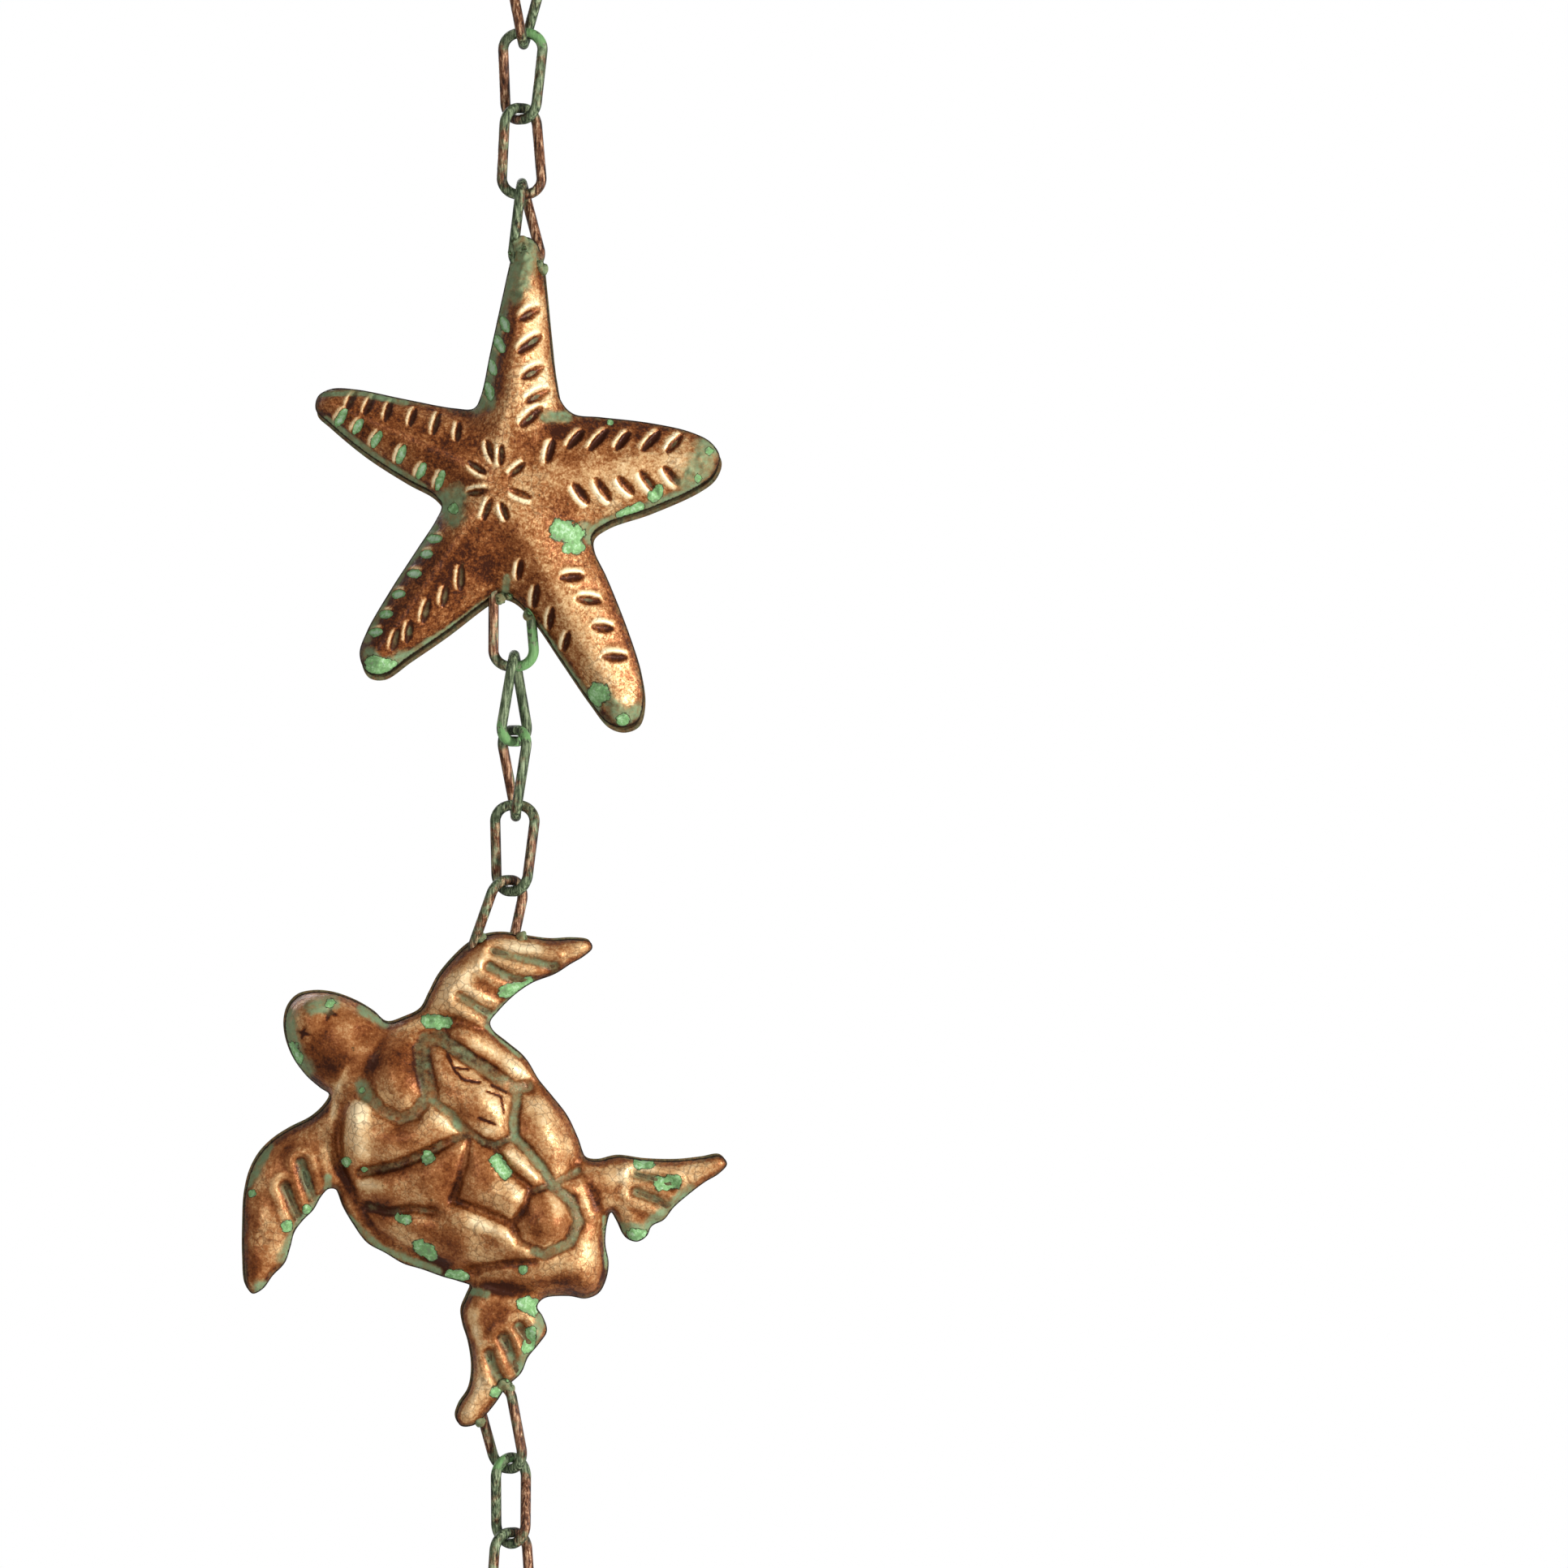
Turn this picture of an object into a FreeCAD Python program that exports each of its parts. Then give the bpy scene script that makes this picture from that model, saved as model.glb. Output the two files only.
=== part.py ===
import FreeCAD, Part
import math
import os

from FreeCAD import Rotation, Vector

# Rain chain: twisted wire links that carry a starfish and a sea turtle.
# Each ornament is two stamped copper shells that meet at a seam in the plane
# y = 0. The bends of the links above and below it are held in the seam.
# Frame: x to the right, y away from the viewer, z up, millimetres. The origin
# is the inside top of the first link's eye, where the chain hangs.

os.makedirs("parts", exist_ok=True)
doc = FreeCAD.newDocument("RainChain")

# Driving sizes in millimetres and degrees
SIZES = {
    "wire_diameter": 2.8,
    "link_length": 23.1,
    "bend_radius": 4.4,
    "hinge_gap": 0.2,
    "seat_gap": 0.1,
    "sheet_wall": 0.9,
    "star_height": 10.5,
    "star_tip_height": 4.8,
    "star_upper_pinch": 7.6,
    "star_upper_pinch_shift": 0.8,
    "star_lower_pinch": 4.4,
    "star_lower_pinch_shift": 2.7,
    "crotch_width": 5.0,
    "dash_length": 6.0,
    "dash_width": 1.9,
    "dash_depth": 0.45,
    "carapace_length": 89.0,
    "carapace_width": 66.0,
    "carapace_height": 15.0,
    "carapace_direction": 142.0,
    "head_height": 8.5,
    "flipper_height": 5.4,
    "groove_width": 1.7,
    "groove_depth": 0.6,
    "eye_groove_width": 1.2,
    "turtle_upper_pinch_x": 0.9,
    "turtle_upper_pinch_z": 57.1,
    "turtle_lower_pinch_x": 1.9,
    "turtle_lower_pinch_z": -55.8,
}

# Starfish arms, clockwise from the top: direction, reach to the tip, radius
# of the tip, and direction and reach of the crotch that follows the arm
ARMS = {
    "top_arm": (82.6, 66.5, 3.8, 48.6, 28.6),
    "right_arm": (7.9, 60.3, 6.7, -25.6, 29.4),
    "lower_right_arm": (-60.5, 73.2, 6.5, -87.4, 29.3),
    "lower_left_arm": (-125.6, 60.6, 4.8, -163.4, 16.0),
    "left_arm": (-206.7, 53.9, 4.5, -255.1, 22.2),
}
ARM_SIZES = ("direction", "reach", "tip_radius", "crotch_direction", "crotch_reach")

# Links from the top down: direction of the top bend about z and its width
# between wire centres, the same of the bottom bend, and how far the bottom
# bend stands to the side of the top bend
LINKS = {
    "link_01": (0, 11.2, 90, 11.2, -1.1),
    "link_02": (0, 11.2, -45, 11.2, -0.8),
    "link_03": (45, 11.2, 0, 11.2, 0.4),
    "link_04": (90, 11.2, 0, 9.0, 1.6),
    "link_05": (0, 9.2, 0, 11.2, 0.9),
    "link_06": (90, 11.2, 45, 11.2, 0.0),
    "link_07": (-45, 11.2, -90, 11.2, 0.4),
    "link_08": (0, 11.2, -45, 11.2, -1.2),
    "link_09": (45, 11.2, 0, 11.2, -6.3),
    "link_10": (0, 9.6, -45, 11.2, 5.2),
    "link_11": (45, 11.2, -45, 11.2, 0.0),
    "link_12": (45, 11.2, 0, 11.2, 0.0),
}
LINK_SIZES = ("top_turn", "top_width", "bottom_turn", "bottom_width", "lean")

# Chisel dashes on the starfish: x and z from its centre, and direction
FLOWER_DASHES = [
    (1.1, 8.0, 90),
    (5.7, 4.3, 38),
    (6.5, -2.6, -18),
    (2.0, -7.4, -72),
    (-2.6, -6.6, 68),
    (-5.4, -1.7, 12),
    (-5.4, 4.3, -38),
    (-1.8, 9.0, -70),
]
TOP_ARM_DASHES = [
    (9.6, 46.7, 48),
    (9.6, 39.1, 48),
    (10.0, 31.5, 45),
    (11.5, 25.0, 40),
    (2.0, 43.5, -50),
    (0.6, 37.5, -52),
    (-0.6, 31.0, -55),
    (-1.6, 24.3, -60),
]
RIGHT_ARM_DASHES = [
    (14.1, 9.2, 72),
    (20.8, 12.4, 60),
    (27.0, 12.2, 55),
    (34.0, 12.2, 52),
    (41.0, 12.6, 50),
    (22.4, -2.2, -50),
    (28.5, -1.1, -48),
    (34.6, 0.0, -46),
    (40.6, 1.6, -44),
    (46.6, 2.4, -44),
]
LOWER_RIGHT_ARM_DASHES = [
    (20.2, -23.9, 0),
    (24.8, -30.5, -4),
    (28.6, -37.8, -6),
    (31.8, -45.4, -8),
    (8.0, -22.6, 84),
    (12.2, -29.8, 82),
    (16.4, -36.0, 80),
    (20.8, -42.4, 78),
]
LOWER_LEFT_ARM_DASHES = [
    (-9.8, -24.2, 84),
    (-14.4, -29.2, 82),
    (-19.4, -34.0, 80),
    (-24.4, -38.6, 78),
    (-15.4, -13.6, 0),
    (-18.6, -19.0, 4),
    (-22.4, -24.4, 4),
    (-26.6, -29.8, 6),
    (-30.0, -35.4, 8),
]
LEFT_ARM_DASHES = [
    (-11.2, 14.4, 74),
    (-18.0, 16.0, 72),
    (-24.8, 18.4, 68),
    (-31.4, 21.0, 66),
    (-38.0, 23.8, 64),
    (-14.8, 3.2, 36),
    (-21.0, 6.2, 34),
    (-27.2, 9.6, 34),
    (-33.2, 13.4, 32),
    (-39.0, 17.4, 32),
]
STAR_DASHES = (
    FLOWER_DASHES
    + TOP_ARM_DASHES
    + RIGHT_ARM_DASHES
    + LOWER_RIGHT_ARM_DASHES
    + LOWER_LEFT_ARM_DASHES
    + LEFT_ARM_DASHES
)

# Turtle's limbs: stations from the body out, each x and z from the carapace's
# centre, half width of the arch there and its share of the limb's height
HEAD = [
    (-27.0, 23.4, 12.0, 1.0),
    (-36.6, 33.0, 11.6, 1.0),
    (-43.8, 40.2, 10.2, 0.86),
    (-48.8, 44.6, 7.0, 0.6),
    (-51.6, 46.9, 2.6, 0.2),
]
UPPER_FLIPPER = [
    (-7.0, 32.0, 9.4, 1.0),
    (-6.0, 45.2, 9.1, 1.0),
    (-0.4, 53.4, 9.0, 0.95),
    (9.3, 58.6, 7.0, 0.85),
    (20.2, 60.2, 4.4, 0.6),
    (28.0, 61.8, 1.6, 0.25),
]
LOWER_FLIPPER = [
    (-30.0, 7.6, 8.6, 1.0),
    (-42.8, 6.2, 9.8, 1.0),
    (-52.5, -1.0, 9.4, 1.0),
    (-57.2, -12.8, 7.0, 0.85),
    (-58.8, -23.0, 5.2, 0.65),
    (-61.2, -30.4, 1.8, 0.25),
]
RIGHT_FLIPPER_LONG_TOE = [
    (17.0, -4.4, 6.5, 1.0),
    (32.8, -2.4, 7.0, 1.0),
    (44.1, 0.2, 5.0, 0.9),
    (55.0, 2.3, 2.8, 0.55),
    (64.6, 4.3, 1.0, 0.2),
]
RIGHT_FLIPPER_MIDDLE_TOE = [
    (20.5, -3.4, 6.5, 1.0),
    (35.4, -4.1, 6.1, 1.0),
    (44.1, -5.9, 4.6, 0.8),
    (51.4, -9.6, 1.5, 0.3),
]
RIGHT_FLIPPER_SHORT_TOE = [
    (20.5, 0.0, 6.5, 1.0),
    (34.6, -5.2, 5.9, 1.0),
    (39.2, -10.7, 4.0, 0.8),
    (41.6, -16.6, 1.6, 0.3),
]
BOTTOM_FLIPPER_LONG_TOE = [
    (7.6, -17.0, 7.6, 1.0),
    (4.1, -33.5, 8.9, 1.0),
    (1.7, -43.3, 6.7, 1.0),
    (0.6, -53.5, 4.9, 0.9),
    (-2.4, -61.1, 3.6, 0.7),
    (-5.6, -66.4, 1.6, 0.3),
]
BOTTOM_FLIPPER_MIDDLE_TOE = [
    (5.2, -19.0, 7.0, 1.0),
    (5.9, -37.8, 6.3, 1.0),
    (6.7, -46.5, 4.4, 0.8),
    (9.3, -53.0, 1.7, 0.3),
]
BOTTOM_FLIPPER_SHORT_TOE = [
    (4.6, -19.0, 7.4, 1.0),
    (7.6, -33.5, 7.0, 1.0),
    (11.5, -38.5, 4.4, 0.8),
    (15.8, -42.6, 1.7, 0.3),
]
FLIPPERS = [
    UPPER_FLIPPER,
    LOWER_FLIPPER,
    RIGHT_FLIPPER_LONG_TOE,
    RIGHT_FLIPPER_MIDDLE_TOE,
    RIGHT_FLIPPER_SHORT_TOE,
    BOTTOM_FLIPPER_LONG_TOE,
    BOTTOM_FLIPPER_MIDDLE_TOE,
    BOTTOM_FLIPPER_SHORT_TOE,
]

# Carapace: stations along the body's axis from the neck to the tail, as shares
# of the half length, of the half width on the left and on the right as seen
# from the tail, and of the height
CARAPACE = [
    (1.02, 0.11, 0.42, 0.14),
    (0.92, 0.45, 0.80, 0.5),
    (0.73, 0.79, 0.99, 0.78),
    (0.40, 0.95, 1.01, 0.96),
    (0.0, 0.88, 0.90, 1.0),
    (-0.36, 0.72, 0.70, 0.9),
    (-0.67, 0.53, 0.44, 0.68),
    (-0.86, 0.34, 0.16, 0.4),
    (-0.94, 0.17, 0.04, 0.12),
]

# Grooves, each a line of x and z from the carapace's centre
RIM_GROOVE = [(-32.0, 27.0), (-37.0, 19.8), (-38.4, 11.1), (-38.0, 2.4), (-34.6, -6.3)]
LOWER_RIM_GROOVE = [(-34.6, -6.3), (-29.0, -14.0), (-20.6, -19.6), (-11.3, -24.4)]
NECK_GROOVE = [(-32.0, 24.1), (-30.4, 19.9), (-26.5, 17.4), (-21.1, 16.1), (-16.7, 18.7), (-15.0, 22.0)]
SHOULDER_GROOVE = [(-15.0, 22.0), (-15.7, 26.3), (-17.6, 33.0), (-14.6, 37.4)]
UPPER_RIM_GROOVE = [(-12.6, 37.0), (0.7, 30.7), (10.4, 24.8), (14.6, 19.4)]
RIGHT_RIM_GROOVE = [(9.3, 24.1), (7.2, 15.4), (8.9, 11.0), (15.6, 4.6), (20.6, -1.6)]
TOP_PLATE_GROOVE = [(-15.0, 22.0), (-8.0, 17.6), (-3.7, 12.2), (1.7, 11.1), (7.2, 14.3)]
UPPER_SIDE_GROOVE = [(-36.3, 4.1), (-26.6, 5.4), (-16.7, 7.0), (-3.7, 12.2)]
LOWER_SIDE_GROOVE = [(-33.4, -7.0), (-21.1, -5.8), (-8.4, -5.4)]
CENTRE_PLATE_GROOVE = [(-3.7, 11.1), (-8.4, -5.4), (-1.5, -8.8), (8.6, -9.6), (13.4, -3.2), (8.9, 11.0)]
BELLY_GROOVE = [(-18.0, -17.6), (-13.0, -11.0), (-8.4, -5.4)]
TAIL_PLATE_GROOVE = [(13.4, -3.2), (22.8, -6.6), (25.8, -13.0), (22.4, -19.4), (13.6, -21.0), (8.6, -16.0)]
TAIL_LINK_GROOVE = [(-6.0, -24.8), (1.0, -20.0), (8.6, -16.0), (8.6, -9.6)]
PLATE_GROOVES = [
    RIM_GROOVE,
    LOWER_RIM_GROOVE,
    NECK_GROOVE,
    SHOULDER_GROOVE,
    UPPER_RIM_GROOVE,
    RIGHT_RIM_GROOVE,
    TOP_PLATE_GROOVE,
    UPPER_SIDE_GROOVE,
    LOWER_SIDE_GROOVE,
    CENTRE_PLATE_GROOVE,
    BELLY_GROOVE,
    TAIL_PLATE_GROOVE,
    TAIL_LINK_GROOVE,
]
FLIPPER_GROOVES = [
    [(3.0, 60.6), (10.6, 59.2), (18.0, 57.0)],
    [(-4.0, 56.2), (3.0, 53.0), (9.4, 49.4)],
    [(-8.4, 49.2), (-3.0, 46.8), (1.6, 44.0)],
    [(-48.2, 4.4), (-46.6, 0.0), (-46.0, -4.6)],
    [(-53.0, -2.4), (-50.6, -6.0), (-49.4, -10.4)],
]
EYE_CENTRES = [(-41.0, 44.2), (-47.4, 39.2)]
EYE_GROOVE_LENGTH = 3.6

# Sheet of sizes
sheet = doc.addObject("Spreadsheet::Sheet", "Sizes")


def put_size(row, alias, value):
    """One row of the sheet: the name, and the number under that name."""
    sheet.set("A%d" % row, alias)
    sheet.set("B%d" % row, str(value))
    sheet.setAlias("B%d" % row, alias)


rows = list(SIZES.items())
for arm, values in ARMS.items():
    rows += [(arm + "_" + name, value) for name, value in zip(ARM_SIZES, values)]
for link, values in LINKS.items():
    rows += [(link + "_" + name, value) for name, value in zip(LINK_SIZES, values)]
rows.append(("eye_groove_length", EYE_GROOVE_LENGTH))
for row, (alias, value) in enumerate(rows, start=1):
    put_size(row, alias, value)
doc.recompute()


def size(alias):
    return float(sheet.get(alias))


def on_seam(x, z):
    """A point of the seam plane."""
    return Vector(x, 0, z)


def polar(degrees, radius):
    """A point of the seam plane by direction and distance."""
    angle = math.radians(degrees)
    return on_seam(radius * math.cos(angle), radius * math.sin(angle))


def turned(vector, degrees):
    """A vector of the seam plane, turned anticlockwise as the viewer sees it."""
    return Rotation(Vector(0, -1, 0), degrees).multVec(vector)


def level(degrees):
    """A level direction by its turn about z."""
    angle = math.radians(degrees)
    return Vector(math.cos(angle), math.sin(angle), 0)


# Layout: where the wire's centre line tops and bottoms out in each link


def link_bottom(link, top):
    lean = size(link + "_lean")
    return top + Vector(lean, 0, -math.sqrt(size("link_length") ** 2 - lean ** 2))


def chain_down(links, top):
    """Ends of links that hang in one another, and the last one's bottom."""
    ends = {}
    hook_rise = Vector(0, 0, size("wire_diameter") + size("hinge_gap"))
    for link in links:
        bottom = link_bottom(link, top)
        ends[link] = (top, bottom)
        top = bottom + hook_rise
    return ends, bottom


link_names = list(LINKS)
hang_top = Vector(0, 0, size("wire_diameter") / 2)
link_ends, star_hold = chain_down(link_names[:4], hang_top)
star_upper_hold = polar(size("top_arm_direction"), size("top_arm_reach") - size("star_upper_pinch"))
star_upper_hold += on_seam(size("star_upper_pinch_shift"), 0)
star_centre = star_hold - star_upper_hold
star_lower_hold = polar(
    size("lower_right_arm_crotch_direction"),
    size("lower_right_arm_crotch_reach") - size("star_lower_pinch"),
)
star_lower_hold += on_seam(size("star_lower_pinch_shift"), 0)
middle_ends, turtle_hold = chain_down(link_names[4:9], star_centre + star_lower_hold)
turtle_centre = turtle_hold - on_seam(size("turtle_upper_pinch_x"), size("turtle_upper_pinch_z"))
turtle_lower_hold = on_seam(size("turtle_lower_pinch_x"), size("turtle_lower_pinch_z"))
lower_ends, chain_end = chain_down(link_names[9:], turtle_centre + turtle_lower_hold)
link_ends.update(middle_ends)
link_ends.update(lower_ends)


# Links


def disc(centre, normal, diameter):
    return Part.Face(Part.Wire(Part.Circle(centre, normal, diameter / 2).toShape()))


def bent_wire(corners, bend_radius, wire_diameter):
    """A closed wire through the corners, straight between its round bends."""
    bends = []
    for number, corner in enumerate(corners):
        back = (corners[number - 1] - corner).normalize()
        ahead = (corners[(number + 1) % len(corners)] - corner).normalize()
        half = back.getAngle(ahead) / 2
        start = corner + back * (bend_radius / math.tan(half))
        end = corner + ahead * (bend_radius / math.tan(half))
        centre = corner + (back + ahead).normalize() * (bend_radius / math.sin(half))
        bends.append((start, end, centre, math.degrees(math.pi - 2 * half)))
    pieces = []
    for number, (start, end, centre, turn) in enumerate(bends):
        axis = (start - centre).cross(end - centre)
        heading = axis.cross(start - centre)
        pieces.append(disc(start, heading, wire_diameter).revolve(centre, axis, turn))
        run = bends[(number + 1) % len(bends)][0] - end
        pieces.append(disc(end, run, wire_diameter).extrude(run))
    return pieces[0].multiFuse(pieces[1:]).removeSplitter()


def link_wire(link, wire_diameter):
    """A link: a wire loop whose top and bottom bends are turned about z."""
    top, bottom = link_ends[link]
    top_half = level(size(link + "_top_turn")) * (size(link + "_top_width") / 2)
    bottom_half = level(size(link + "_bottom_turn")) * (size(link + "_bottom_width") / 2)
    corners = [top - top_half, top + top_half, bottom + bottom_half, bottom - bottom_half]
    return bent_wire(corners, size("bend_radius"), wire_diameter)


# Starfish


def flank_profile(top, rim):
    """A soft arch from a point on the ridge down to a point on the rim."""
    foot = on_seam(top.x, top.z)
    out = rim - foot
    rise = Vector(0, top.y, 0)
    curve = Part.BezierCurve()
    curve.setPoles([top, foot + out * 0.38 + rise * 0.97, foot + out * 0.76 + rise * 0.56, rim])
    return curve.toShape()


def tangent_point(crotch, tip, radius, side):
    """Where a straight edge from the crotch touches the tip's circle."""
    line = crotch - tip
    swing = math.degrees(math.acos(radius / line.Length))
    return tip + turned(line.normalize() * radius, side * swing)


def star_crotch(arm, inset):
    """The two ends of the short blunt rim after an arm."""
    direction = size(arm + "_crotch_direction")
    middle = polar(direction, size(arm + "_crotch_reach") - inset)
    half = polar(direction + 90, size("crotch_width") / 2)
    return middle + half, middle - half


def star_body(inset):
    """The front half of the starfish, lowered and narrowed by the inset.

    Each flank of an arm is a surface ruled between the valley at the crotch
    and the arch at the tip, the tip is that arch turned about its middle, and
    a narrow fan fills the valley between two arms.
    """
    middle = Vector(0, inset - size("star_height"), 0)
    faces = []
    rim = []
    arms = list(ARMS)
    for number, arm in enumerate(arms):
        direction = size(arm + "_direction")
        radius = size(arm + "_tip_radius") - inset
        tip = polar(direction, size(arm + "_reach") - size(arm + "_tip_radius"))
        ridge_end = tip + Vector(0, inset - size("star_tip_height"), 0)
        before = star_crotch(arms[number - 1], inset)[1]
        after, beyond = star_crotch(arm, inset)
        first = tangent_point(before, tip, radius, -1)
        last = tangent_point(after, tip, radius, 1)
        sweep = math.degrees((first - tip).getAngle(polar(direction, 1)))
        sweep += math.degrees((last - tip).getAngle(polar(direction, 1)))
        faces.append(Part.makeRuledSurface(flank_profile(middle, before), flank_profile(ridge_end, first)))
        faces.append(Part.makeRuledSurface(flank_profile(middle, after), flank_profile(ridge_end, last)))
        faces.append(flank_profile(ridge_end, first).revolve(tip, Vector(0, 1, 0), sweep))
        faces.append(Part.makeRuledSurface(flank_profile(middle, after), flank_profile(middle, beyond)))
        rim.append(Part.makeLine(before, first))
        rim.append(Part.Arc(first, tip + polar(direction, radius), last).toShape())
        rim.append(Part.makeLine(last, after))
        rim.append(Part.makeLine(after, beyond))
    faces.append(Part.Face(Part.Wire(rim)))
    skin = Part.Compound(faces)
    skin.sewShape()
    return Part.Solid(skin.Shells[0])


def dash(x, z, direction):
    """One lens-shaped prism that stands on the seam plane."""
    along = polar(direction, size("dash_length") / 2)
    across = polar(direction + 90, size("dash_width") / 2)
    centre = on_seam(x, z)
    upper = Part.Arc(centre - along, centre + across, centre + along).toShape()
    lower = Part.Arc(centre + along, centre - across, centre - along).toShape()
    face = Part.Face(Part.Wire([upper, lower]))
    return face.extrude(Vector(0, -2 * size("star_height"), 0))


def star_marks():
    """The metal that the chisel dashes take out of the starfish's skin."""
    dashes = Part.Compound([dash(*mark) for mark in STAR_DASHES])
    return dashes.cut(star_body(size("dash_depth")))


# Turtle


def arch_section(centre, heading, left, right, height):
    """A lens across the heading, as wide as the limb and symmetric to the seam."""
    left_rim = centre + turned(heading, 90) * left
    right_rim = centre + turned(heading, -90) * right
    middle = (left_rim + right_rim) / 2
    front = Part.Arc(left_rim, middle + Vector(0, -height, 0), right_rim).toShape()
    back = Part.Arc(right_rim, middle + Vector(0, height, 0), left_rim).toShape()
    return Part.Wire([front, back])


def less(length, inset):
    """A length smaller by the inset, but no less than a third of itself."""
    return max(length - inset, length / 3)


def limb(stations, height, inset):
    """A loft of arches along a limb, smaller by the inset."""
    sections = []
    for number, (x, z, half_width, share) in enumerate(stations):
        before = stations[max(number - 1, 0)]
        after = stations[min(number + 1, len(stations) - 1)]
        heading = on_seam(after[0] - before[0], after[1] - before[1]).normalize()
        place = on_seam(x, z)
        if number == len(stations) - 1:
            place -= heading * inset
        half = less(half_width, inset)
        sections.append(arch_section(place, heading, half, half, less(height * share, inset)))
    return Part.makeLoft(sections, True, False)


def carapace(inset):
    """A loft of arches along the body's axis, smaller by the inset."""
    heading = polar(size("carapace_direction"), 1)
    half_length = size("carapace_length") / 2 - inset
    half_width = size("carapace_width") / 2
    sections = []
    for along, left, right, share in CARAPACE:
        sections.append(arch_section(
            heading * (half_length * along),
            heading,
            less(half_width * left, inset),
            less(half_width * right, inset),
            less(size("carapace_height") * share, inset),
        ))
    return Part.makeLoft(sections, True, False)


def turtle_body(inset):
    """The front half of the turtle, lowered and narrowed by the inset."""
    limbs = [limb(HEAD, size("head_height"), inset)]
    limbs += [limb(flipper, size("flipper_height"), inset) for flipper in FLIPPERS]
    whole = carapace(inset).multiFuse(limbs)
    box = whole.BoundBox
    front = Part.makeBox(box.XLength, -box.YMin, box.ZLength, Vector(box.XMin, box.YMin, box.ZMin))
    return whole.common(front)


def ribbon(points, width):
    """A band along the points, as a prism that stands on the seam plane."""
    path = Part.makePolygon([on_seam(x, z) for x, z in points])
    outline = path.makeOffset2D(width / 2, 0, False, False, False)
    return Part.Face(outline).extrude(Vector(0, -2 * size("carapace_height"), 0))


def bar(x, z, direction, length, width):
    """A short straight band about a point, as such a prism."""
    along = polar(direction, length / 2)
    across = polar(direction + 90, width / 2)
    centre = on_seam(x, z)
    corners = [centre - along - across, centre + along - across, centre + along + across, centre - along + across]
    outline = Part.makePolygon(corners + corners[:1])
    return Part.Face(outline).extrude(Vector(0, -2 * size("carapace_height"), 0))


def turtle_marks(body):
    """The metal that the grooves and the crossed eyes take out of the skin."""
    bands = [ribbon(points, size("groove_width")) for points in PLATE_GROOVES + FLIPPER_GROOVES]
    for x, z in EYE_CENTRES:
        for direction in (-15, 75):
            bands.append(bar(x, z, direction, size("eye_groove_length"), size("eye_groove_width")))
    network = bands[0].multiFuse(bands[1:])
    return network.cut(body.translated(Vector(0, size("groove_depth"), 0)))


# Document objects


def feature(name, shape):
    made = doc.addObject("Part::Feature", name)
    made.Label = name
    made.Shape = shape
    return made


def cut(name, base, tool):
    made = doc.addObject("Part::Cut", name)
    made.Label = name
    made.Base = base
    made.Tool = tool
    return made


def mirrored(name, source):
    """The source mirrored in the seam plane."""
    made = doc.addObject("Part::Mirroring", name)
    made.Label = name
    made.Source = source
    made.Normal = Vector(0, 1, 0)
    return made


def ornament(name, body, marks, hollow, centre, held_links):
    """Front and back shell: marked, hollowed, and notched for the held links."""
    skin = feature(name + "_skin", body.cut(marks).translated(centre))
    inside = feature(name + "_inside", hollow.translated(centre))
    half = cut(name + "_half", skin, inside)
    held_wire = size("wire_diameter") + 2 * size("seat_gap")
    held = feature(name + "_held", Part.Compound([link_wire(link, held_wire) for link in held_links]))
    front = cut(name + "_front_shell", half, held)
    back = cut(name + "_back_shell", mirrored(name + "_mirror", half), held)
    return [front, back]


parts = [feature(link, link_wire(link, size("wire_diameter"))) for link in LINKS]
parts += ornament(
    "star",
    star_body(0),
    star_marks(),
    star_body(size("sheet_wall")),
    star_centre,
    ["link_04", "link_05"],
)
turtle = turtle_body(0)
parts += ornament(
    "turtle",
    turtle,
    turtle_marks(turtle),
    turtle_body(size("sheet_wall")),
    turtle_centre,
    ["link_09", "link_10"],
)

doc.recompute()
for thing in doc.Objects:
    if "Invalid" in thing.State or "Error" in thing.State:
        raise RuntimeError("failed: " + thing.Label)
for part in parts:
    if part.Shape.isNull() or not part.Shape.isValid() or len(part.Shape.Solids) != 1:
        raise RuntimeError("not one valid solid: " + part.Label)
for part in parts:
    part.Shape.exportStep("parts/%s.step" % part.Label)
    print(part.Label, round(part.Shape.Volume, 1))
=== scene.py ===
import math

import bmesh
import bpy
import numpy as np
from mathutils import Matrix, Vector


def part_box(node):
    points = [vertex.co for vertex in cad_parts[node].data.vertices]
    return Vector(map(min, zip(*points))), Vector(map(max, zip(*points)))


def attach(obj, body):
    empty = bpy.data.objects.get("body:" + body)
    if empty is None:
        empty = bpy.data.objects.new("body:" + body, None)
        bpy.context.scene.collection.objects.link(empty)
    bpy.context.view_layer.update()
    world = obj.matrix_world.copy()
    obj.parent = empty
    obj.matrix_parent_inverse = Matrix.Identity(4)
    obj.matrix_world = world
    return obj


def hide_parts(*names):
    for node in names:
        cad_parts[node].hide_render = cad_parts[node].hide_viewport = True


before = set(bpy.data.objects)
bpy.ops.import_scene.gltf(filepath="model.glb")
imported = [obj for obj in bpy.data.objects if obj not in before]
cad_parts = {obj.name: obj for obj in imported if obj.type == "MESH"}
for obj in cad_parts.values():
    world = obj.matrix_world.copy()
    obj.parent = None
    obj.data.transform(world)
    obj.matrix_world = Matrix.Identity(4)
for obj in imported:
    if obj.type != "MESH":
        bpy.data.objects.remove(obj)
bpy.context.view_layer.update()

# Lengths here are metres. Outlines, ridges and marks are written where the
# photograph shows them, in its pixels, and turned into millimetres from the
# ornament's centre: x to the right, z up, as in the part's source.
MM = 0.001
PIXELS_PER_MM = 4.6
HANG_PX = (650.0, -45.0)
IMAGE_PX = 1932
STAR_CENTRE = (-8.29, -140.31)
TURTLE_CENTRE = (-11.56, -324.86)
SHEET_WALL = 0.9
SEAM_GAP = 0.08
FLANGE = 0.5
FLANGE_HEIGHT = 0.35
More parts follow.
